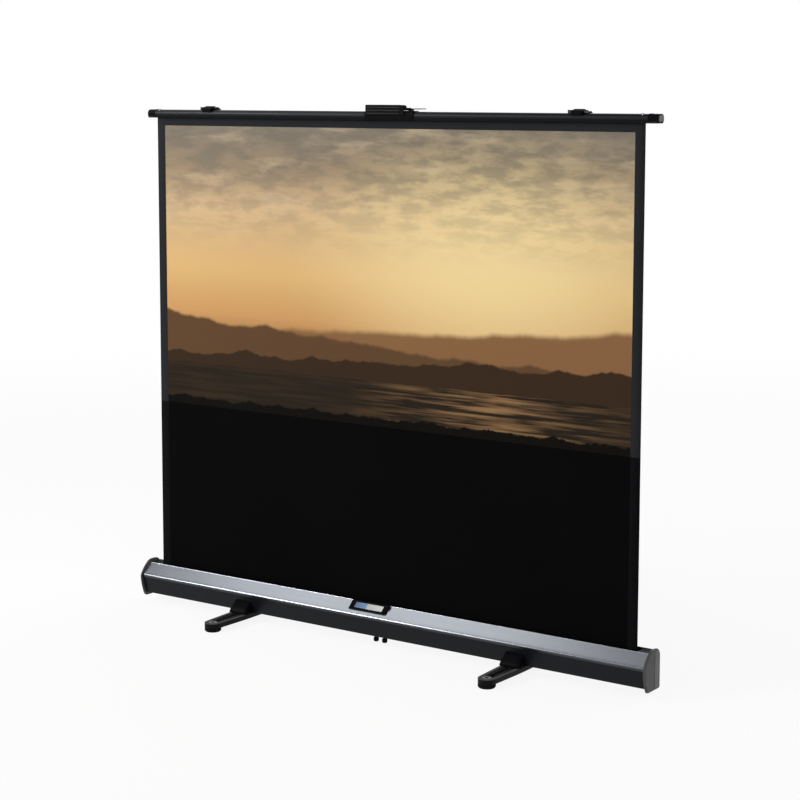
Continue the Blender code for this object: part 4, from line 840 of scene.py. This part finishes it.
def face_outline(name, side):
    """The outline of an end cap's outer face, as pairs of y and z that run anticlockwise."""
    corners = [v.co for v in nodes[name].data.vertices]
    reach = max(side * corner.x for corner in corners) - MERGE_DISTANCE
    pairs = {tuple(round(part, MERGE_DIGITS) for part in corner.yz): corner.yz
             for corner in corners if side * corner.x > reach}
    middle = sum(pairs.values(), Vector((0, 0))) / len(pairs)
    return sorted(pairs.values(), key=lambda pair: math.atan2(pair.y - middle.y, pair.x - middle.x))


def bowed(outline):
    """An end cap's outline a touch larger, with its front bowed out between its corners and smoothed."""
    points = []
    for i, here in enumerate(outline):
        ahead = outline[(i + 1) % len(outline)]
        steps = math.ceil((ahead - here).length / CAP_SPACING)
        points += [here.lerp(ahead, step / steps) for step in range(steps)]
    for start, end, height in CAP_BOWS:
        chord = Vector(end) - Vector(start)
        along = chord.normalized()
        outward = -along.orthogonal()
        for i, point in enumerate(points):
            reach = point - Vector(start)
            share = reach.dot(along) / chord.length
            if 0 < share < 1 and abs(reach.dot(outward)) < CAP_BOW_REACH:
                points[i] = point + outward * height * 4 * share * (1 - share)
    for _ in range(CAP_SMOOTHINGS):
        points = [(points[i - 1] + point * 2 + points[(i + 1) % len(points)]) / 4 if point.x < 0 else point
                  for i, point in enumerate(points)]
    return inset(points, -CAP_GROWTH)


def build_case_ends():
    """Each end cap's bowed shell, its raised panel and the step along its rear, coloured paler as a painted
    highlight.
    """
    for side, word in SIDES:
        low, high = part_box("end_cap_" + word)
        face = (high.x if side > 0 else low.x) + side * TOUCH_GAP
        whole = thinned(bowed(face_outline("end_cap_" + word, side)))
        shell = Shape().loft(drawn_rings(whole, (
            (side * CAP_BACK_X, 0), (face - side * CAP_EDGE_ROUND, 0),
            (face - side * CAP_EDGE_ROUND / 3, CAP_EDGE_ROUND / 3), (face, CAP_EDGE_ROUND))))
        shell.make("cap_shell_" + word, "grey_plastic", edge=SOFT_EDGE)
        outline = thinned(inset(whole, CAP_PANEL_INSET))
        raised = face + side * CAP_PANEL_RISE
        panel = Shape().prism(outline, face - side * TOUCH_GAP, raised)
        panel.make("cap_panel_" + word, "grey_plastic")
        rear = thinned(inset(past(outline, CAP_STEP_Y), CAP_STEP_RISE))
        step = Shape().prism(rear, raised - side * TOUCH_GAP, raised + side * CAP_STEP_RISE)
        # Painted highlight: the rear step is paler where the cap's rear catches the light
        step.make("cap_step_" + word, "grey_plastic", CASE, "cap_highlight_grey", FINE_EDGE)


def build_mouth_ends():
    """A small closure with a sunk middle over each end of the case's mouth, outside the cloth."""
    for side, word in SIDES:
        closure = Shape().prism(MOUTH_END_PROFILE, *(side * x for x in MOUTH_END_X))
        closure.make("mouth_end_" + word, "black_plastic", edge=SOFT_EDGE)


def build_case_back():
    """Shallow ribs drawn along the back of the case."""
    low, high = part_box("case_body")
    root = high.y - TOUCH_GAP
    crest = high.y + BACK_RIB_RISE
    ribs = Shape()
    for z in BACK_RIB_HEIGHTS:
        ribs.prism([(root, z), (crest, z + BACK_RIB_RISE), (crest, z + BACK_RIB_WIDTH),
                    (root, z + BACK_RIB_WIDTH + BACK_RIB_RISE)], low.x + BACK_RIB_END, high.x - BACK_RIB_END)
    ribs.make("case_back_ribs", "dark_metal", edge=FINE_EDGE)


def bar_outline(low, high):
    """The bar's section: rounded top, a groove and a drip lip in each face, open slot underneath."""
    def wall(y, side):
        lip = low.z + BAR_LIP_RISE
        groove = low.z + BAR_GROOVE_RISE
        shallow = y - side * BAR_GROOVE_DEPTH / 2
        deep = y - side * BAR_GROOVE_DEPTH
        return [(y, low.z), (y, lip), (shallow, lip), (shallow, groove), (deep, groove),
                (deep, groove + BAR_GROOVE_HEIGHT), (y, groove + BAR_GROOVE_HEIGHT)]

    front_centre = (low.y + BAR_RADIUS, high.z - BAR_RADIUS)
    rear_centre = (high.y - BAR_RADIUS, high.z - BAR_RADIUS)
    slot_front = CLOTH_Y - BAR_SLOT / 2
    slot_rear = CLOTH_Y + BAR_SLOT / 2
    floor = low.z + BAR_WALL
    bore = BAR_RADIUS - BAR_WALL
    outer = [(slot_rear, low.z)] + wall(high.y, 1) + arc(rear_centre, BAR_RADIUS, 0, QUARTER_TURN)
    outer += arc(front_centre, BAR_RADIUS, QUARTER_TURN, math.pi) + wall(low.y, -1)[::-1]
    inner = [(slot_front, low.z), (slot_front, floor), (low.y + BAR_WALL, floor)]
    inner += arc(front_centre, bore, math.pi, QUARTER_TURN) + arc(rear_centre, bore, QUARTER_TURN, 0)
    return outer + inner + [(high.y - BAR_WALL, floor), (slot_rear, floor)]


def build_bar():
    """The bar's extrusion, and a black rubber strip along the foot of its front that stands for the shade on
    the bar's lower half.
    """
    low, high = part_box("top_bar")
    bar = Shape().prism(bar_outline(low, high), low.x, high.x)
    bar.make("bar_extrusion", "dark_metal", "bar", edge=FINE_EDGE, stands_for="top_bar")
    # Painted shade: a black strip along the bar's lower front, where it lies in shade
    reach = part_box("bar_cap_right")[0].x - TOUCH_GAP
    bottom, top = (low.z + height for height in SHADE_STRIP_HEIGHTS)
    root = low.y + TOUCH_GAP
    face = low.y - SHADE_STRIP_THICKNESS
    shade_strip = Shape().prism([(root, bottom), (root, top), (low.y - SHADE_STRIP_THICKNESS / 2, top),
                            (face, top - SHADE_STRIP_THICKNESS), (face, bottom)], -reach, reach)
    shade_strip.make("bar_shade_strip", "rubber", "bar", edge=FINE_EDGE)


def build_bar_ends():
    """Each end of the bar: a black sleeve with a band round its mouth, and a paler end plate as painted
    highlight.
    """
    for side, word in SIDES:
        low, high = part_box("bar_cap_" + word)
        mouth, tip = (low.x, high.x) if side > 0 else (high.x, low.x)
        outline = rounded(low.yz, high.yz, SLEEVE_RADII)
        sleeve = Shape().loft(drawn_rings(outline, (
            (mouth, SLEEVE_LIP), (mouth + side * SLEEVE_LIP, 0), (mouth + side * SLEEVE_BAND, 0),
            (mouth + side * (SLEEVE_BAND + SLEEVE_LIP), SLEEVE_LIP), (tip - side * SLEEVE_ROUND, SLEEVE_LIP),
            (tip - side * SLEEVE_LIP, SLEEVE_LIP * 2), (tip, SLEEVE_ROUND))))
        sleeve.make("bar_sleeve_" + word, "grey_plastic", "bar", "black_plastic", SOFT_EDGE,
                    stands_for="bar_cap_" + word)
        plate = Shape().loft(drawn_rings(outline, (
            (tip - side * TOUCH_GAP, END_PLATE_INSET), (tip + side * END_PLATE_RISE / 2, END_PLATE_INSET),
            (tip + side * END_PLATE_RISE, END_PLATE_INSET + END_PLATE_RISE))))
        # Painted highlight: the end plate's paler grey stands for the light caught on the bar's end
        plate.make("bar_end_plate_" + word, "grey_plastic", "bar", "end_highlight_grey", CRISP_EDGE)


def build_grip_cover():
    """The soft cover that hangs over the grip's front, sloped at its right end, with finger ribs along it."""
    low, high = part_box("handle_grip")
    left = low.x + GRIP_TRUNNION_REACH
    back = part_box("handle_saddle")[0].y - TOUCH_GAP
    front = back - COVER_THICKNESS
    bottom = low.z - COVER_OVERHANG
    top = high.z + COVER_TOP_RISE
    bite = low.y + COVER_BITE
    rings = []
    for along, drop in COVER_SLOPE:
        crown = top - drop
        rings.append([(left + along, y, z) for y, z in (
            (front, bottom), (back, bottom), (back, low.z), (bite, low.z), (bite, crown),
            (front + COVER_THICKNESS / 2, crown), (front, crown - COVER_THICKNESS / 2))])
    Shape().loft(rings).make("grip_cover", "rubber", "grip")
    ribs = Shape()
    pitch = (top - COVER_THICKNESS - bottom) / RIB_COUNT
    for i in range(RIB_COUNT):
        centre = (front + TOUCH_GAP, bottom + pitch * (i + 0.5))
        ribs.prism(arc(centre, RIB_RADIUS, QUARTER_TURN, 3 * QUARTER_TURN), left + RIB_ENDS[0],
                   left + COVER_SLOPE[-1][0] - RIB_ENDS[1])
    ribs.make("grip_ribs", "rubber", "grip", "ribbed_grip", FINE_EDGE)


def build_latch_tops():
    """A ridged thumb pad on each latch slider, its apron over the bar's front, and a stop on its base."""
    for word, body in (("left", "latch_l"), ("right", "latch_r")):
        low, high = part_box("latch_slider_" + word)
        base_low, base_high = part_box("latch_base_" + word)
        near = low.x + THUMB_SPAN[0]
        far = high.x + THUMB_SPAN[1]
        front, back = (low.y + depth for depth in THUMB_DEPTH)
        crown = high.z + THUMB_HEIGHT
        sunk = high.z - TOUCH_GAP
        ledge = base_high.z + 2 * TOUCH_GAP
        pitch = (far - near - 2 * THUMB_SLOPE) / THUMB_RIDGES
        outline = [(near, sunk), (high.x + TOUCH_GAP, sunk), (high.x + TOUCH_GAP, ledge), (far, ledge),
                   (far - THUMB_SLOPE, crown)]
        for i in range(THUMB_RIDGES):
            x = far - THUMB_SLOPE - pitch * i
            outline += [(x - pitch * share, crown + THUMB_RIDGE) for share in THUMB_RIDGE_SHARES]
            outline.append((x - pitch, crown))
        thumb = Shape().prism(outline, front, back, "Y")
        bar_top = base_low.z - TOUCH_GAP
        bottom = bar_top - APRON_BOTTOM
        under, eave = (bar_top + rise for rise in APRON_ROOF)
        apron = [(APRON_FRONT, bottom), (APRON_BACK, bottom), (APRON_BACK, under), (APRON_REAR, under),
                 (low.y + THUMB_DEPTH[0] * 2, high.z), (front, crown), (APRON_FRONT + THUMB_SLOPE, eave),
                 (APRON_FRONT, bar_top + APRON_ROOF[1] / 2)]
        thumb.prism(apron, near + THUMB_SLOPE / 2, far - THUMB_SLOPE / 2)
        thumb.make("latch_thumb_" + word, "black_plastic", body)
        outline = rounded((base_high.x - LATCH_STOP_LENGTH, base_high.z - TOUCH_GAP),
                          (base_high.x, base_high.z + LATCH_STOP_HEIGHT), [EDGE_WIDTH] * 4)
        stop = Shape().prism(outline, *(base_low.y + depth for depth in THUMB_DEPTH), "Y")
        stop.make("latch_stop_" + word, "black_plastic", "bar", edge=CRISP_EDGE)


def build_pad(name, body):
    """A soft round pad with upright ribs round it, drawn in at its foot and its top."""
    low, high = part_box(name)
    centre = (low + high) / 2
    rings = []
    for i, (z, draw) in enumerate(PAD_PROFILE):
        deep = PAD_RIB_DEPTH if 0 < i < len(PAD_PROFILE) - 1 else 0
        ring = []
        for step in range(PAD_STEPS):
            angle = FULL_TURN * step / PAD_STEPS
            radius = (high.x - low.x) / 2 - draw - deep * (1 - math.cos(PAD_RIBS * angle)) / 2
            ring.append((centre.x + radius * math.cos(angle), centre.y + radius * math.sin(angle), low.z + z))
        rings.append(ring)
    pad = Shape().loft(rings)
    pad.make(name.replace("foot_pad", "ribbed_pad"), "rubber", body, edge=CRISP_EDGE, stands_for=name)


def build_fairing(word):
    """The rounded cover that runs from the case's lower front down to the foot's root."""
    low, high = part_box("foot_cover_" + word)
    middle = (low.x + high.x) / 2
    facet = FACET_RIDGE - FACET_LOW
    rings = []
    for level in range(FAIRING_LEVELS + 1):
        share = level / FAIRING_LEVELS
        z = low.z + (high.z - low.z) * share
        wall = FACET_LOW.x + facet.x * (z - FACET_LOW.y) / facet.y - TOUCH_GAP
        reach = FAIRING_REACH * (1 - share ** FAIRING_CURVE) + EDGE_WIDTH * 2
        half = FAIRING_HALVES[0] + (FAIRING_HALVES[1] - FAIRING_HALVES[0]) * share
        corner = min(FAIRING_CORNER, reach * FAIRING_CORNER_SHARE)
        outline = rounded((middle - half, wall - reach), (middle + half, wall),
                          (corner, corner, EDGE_WIDTH, EDGE_WIDTH))
        rings.append([(x, y, z) for x, y in outline])
    Shape().loft(rings).make("foot_fairing_" + word, "black_plastic", stands_for="foot_cover_" + word)


def build_feet():
    """The soft pads, the screw eyes, the ribs in the sunk panels and the fairings of both feet."""
    for word, body in (("left", "foot_l"), ("right", "foot_r")):
        low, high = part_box("foot_arm_" + word)
        middle = (low.x + high.x) / 2
        sunk = high.z - FOOT_RECESS_DEPTH - TOUCH_GAP
        crest = high.z - FOOT_RECESS_DEPTH + FOOT_RIB_RISE
        lip = high.z - EYELET_DROP
        ribs = Shape()
        eyes = Shape()
        for way, end in ((-1, "front"), (1, "rear")):
            build_pad("foot_pad_" + end + "_" + word, body)
            for offset in FOOT_RIB_OFFSETS:
                outline = [(middle + offset + across, z) for across, z in (
                    (-FOOT_RIB_WIDTH / 2, sunk), (FOOT_RIB_WIDTH / 2, sunk),
                    (FOOT_RIB_WIDTH / 4, crest), (-FOOT_RIB_WIDTH / 4, crest))]
                ribs.prism(outline, *(way * reach for reach in FOOT_RIB_SPAN), "Y")
            eyes.turned((middle, way * SEAT_REACH), lip, (
                (EYELET_RADIUS, -EYELET_DEPTH), (EYELET_RADIUS, 0), (EYELET_HOLE, 0),
                (EYELET_HOLE, -EYELET_DEPTH)), hollow=True)
        ribs.make("foot_ribs_" + word, "black_plastic", body, "foot_plastic", FINE_EDGE)
        eyes.make("foot_eyes_" + word, "black_plastic", body, edge=CRISP_EDGE)
        build_fairing(word)


def build_stub_mount():
    """A collar at the root of each stub, a soft boot on its end, and the thin plate that carries both."""
    mount = Shape()
    tips = Shape()
    stubs = [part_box("centre_stub_" + word) for _, word in SIDES]
    for low, high in stubs:
        mount.turned((low + high) / 2, COLLAR_HEIGHT, COLLAR_PROFILE)
        tips.turned((low + high) / 2, low.z, TIP_PROFILE)
    plate = rounded(stubs[0][0].xy - STUB_PLATE_MARGIN, stubs[1][1].xy + STUB_PLATE_MARGIN,
                    [STUB_PLATE_MARGIN.y] * 4)
    mount.prism(plate, *STUB_PLATE_HEIGHTS, "Z")
    mount.make("stub_mount", "black_plastic")
    tips.make("stub_tips", "rubber", edge=SOFT_EDGE)


def dress_frame():
    """Every solid of the frame that stays gets its finish."""
    for name in nodes:
        if name.startswith("foot_arm"):
            dress_node(name, 2 * EDGE_WIDTH, "foot_plastic")
        elif name == "release_lever":
            dress_node(name, finish="black_plastic")
        elif name.startswith(("handle_grip", "latch_slider")):
            dress_node(name, SOFT_EDGE, dissolve=False)
        elif name not in ("fabric_sheet", "fabric_roll", "front_fascia", "top_bar"):
            dress_node(name, 0 if name == "roller_spring" else EDGE_WIDTH)


def add_stage():
    """A white floor that keeps the shadow near the object and melts into the white round it farther off."""
    mesh = bpy.data.meshes.new("studio_floor")
    corners = [(x * FLOOR_HALF, y * FLOOR_HALF, 0) for x, y in ((-1, -1), (1, -1), (1, 1), (-1, 1))]
    mesh.from_pydata(corners, [], [(0, 1, 2, 3)])
    floor = add_object("studio_floor", mesh)
    paint = Paint("studio_white", specular=0.1)
    paint.rough(0.9)
    paint.colour(paint.mix(paint.noise(1.5, detail=2), *FLOOR_TONES))
    distance = paint.node("ShaderNodeVectorMath", {0: paint.place()}, operation="LENGTH").outputs["Value"]
    far = paint.span(distance, BRIGHT_RADIUS, FADE_RADIUS, NEAR_WHITE_SHARE, 1, smooth=True)
    rays = paint.node("ShaderNodeLightPath").outputs
    seen = paint.larger(rays["Is Camera Ray"], rays["Is Glossy Ray"])
    seen = paint.times(paint.larger(seen, rays["Is Transmission Ray"]), far)
    white = paint.node("ShaderNodeEmission", {"Color": WHITE}).outputs[0]
    blend = paint.node("ShaderNodeMixShader", {0: seen, 1: paint.shader.outputs[0], 2: white})
    paint.feed(paint.tree.nodes["Material Output"].inputs["Surface"], blend.outputs[0])
    mesh.materials.append(paint.material)


def add_world():
    """White where it is seen or mirrored, but for a dim patch high on the left; softer for what it lights."""
    world = bpy.data.worlds.new("studio")
    bpy.context.scene.world = world
    world.use_nodes = True
    world.node_tree.nodes.clear()
    wiring = Wiring(world.node_tree, "Generated")
    rays = wiring.node("ShaderNodeLightPath").outputs
    toward = wiring.node("ShaderNodeVectorMath", {0: wiring.place(), 1: DIM_CORNER}, operation="DOT_PRODUCT")
    wall = wiring.span(toward.outputs["Value"], *DIM_EDGES, 1, DIM_LEVEL, smooth=True)
    seen = wiring.sum(wiring.times(rays["Is Glossy Ray"], wall), rays["Is Camera Ray"])
    seen = wiring.sum(seen, rays["Is Transmission Ray"])
    level = wiring.sum(wiring.times(seen, 1 - UNSEEN_LEVEL), UNSEEN_LEVEL)
    sky = wiring.node("ShaderNodeBackground", {"Color": WHITE, "Strength": level})
    wiring.node("ShaderNodeOutputWorld", {"Surface": sky.outputs[0]})


def add_lamps():
    """A wide key from the left, a soft fill from the right, a rear wash and a weak panel over the left."""
    for name, place, aim, size, power in LAMPS:
        data = bpy.data.lights.new(name, "AREA")
        data.shape = "RECTANGLE"
        data.size, data.size_y = size
        data.energy = power
        lamp = add_object(name, data)
        lamp.location = place
        lamp.rotation_euler = (Vector(aim) - Vector(place)).to_track_quat("-Z", "Y").to_euler()


def add_camera():
    data = bpy.data.cameras.new("photo_camera")
    data.lens = CAMERA_LENS_MM
    data.shift_x, data.shift_y = CAMERA_SHIFT
    camera = add_object("photo_camera", data)
    camera.location = CAMERA_PLACE
    camera.rotation_euler = (QUARTER_TURN - CAMERA_DIP, 0, CAMERA_YAW)
    bpy.context.scene.camera = camera


def main():
    for step in (add_camera, add_stage, add_world, add_lamps, dress_frame, build_cloth, build_wrapped_cloth,
                 build_fascia, build_plate, build_case_ends, build_mouth_ends, build_case_back, build_bar,
                 build_bar_ends, build_grip_cover, build_latch_tops, build_feet, build_stub_mount):
        step()
    bpy.context.scene.view_settings.view_transform = "Standard"


main()
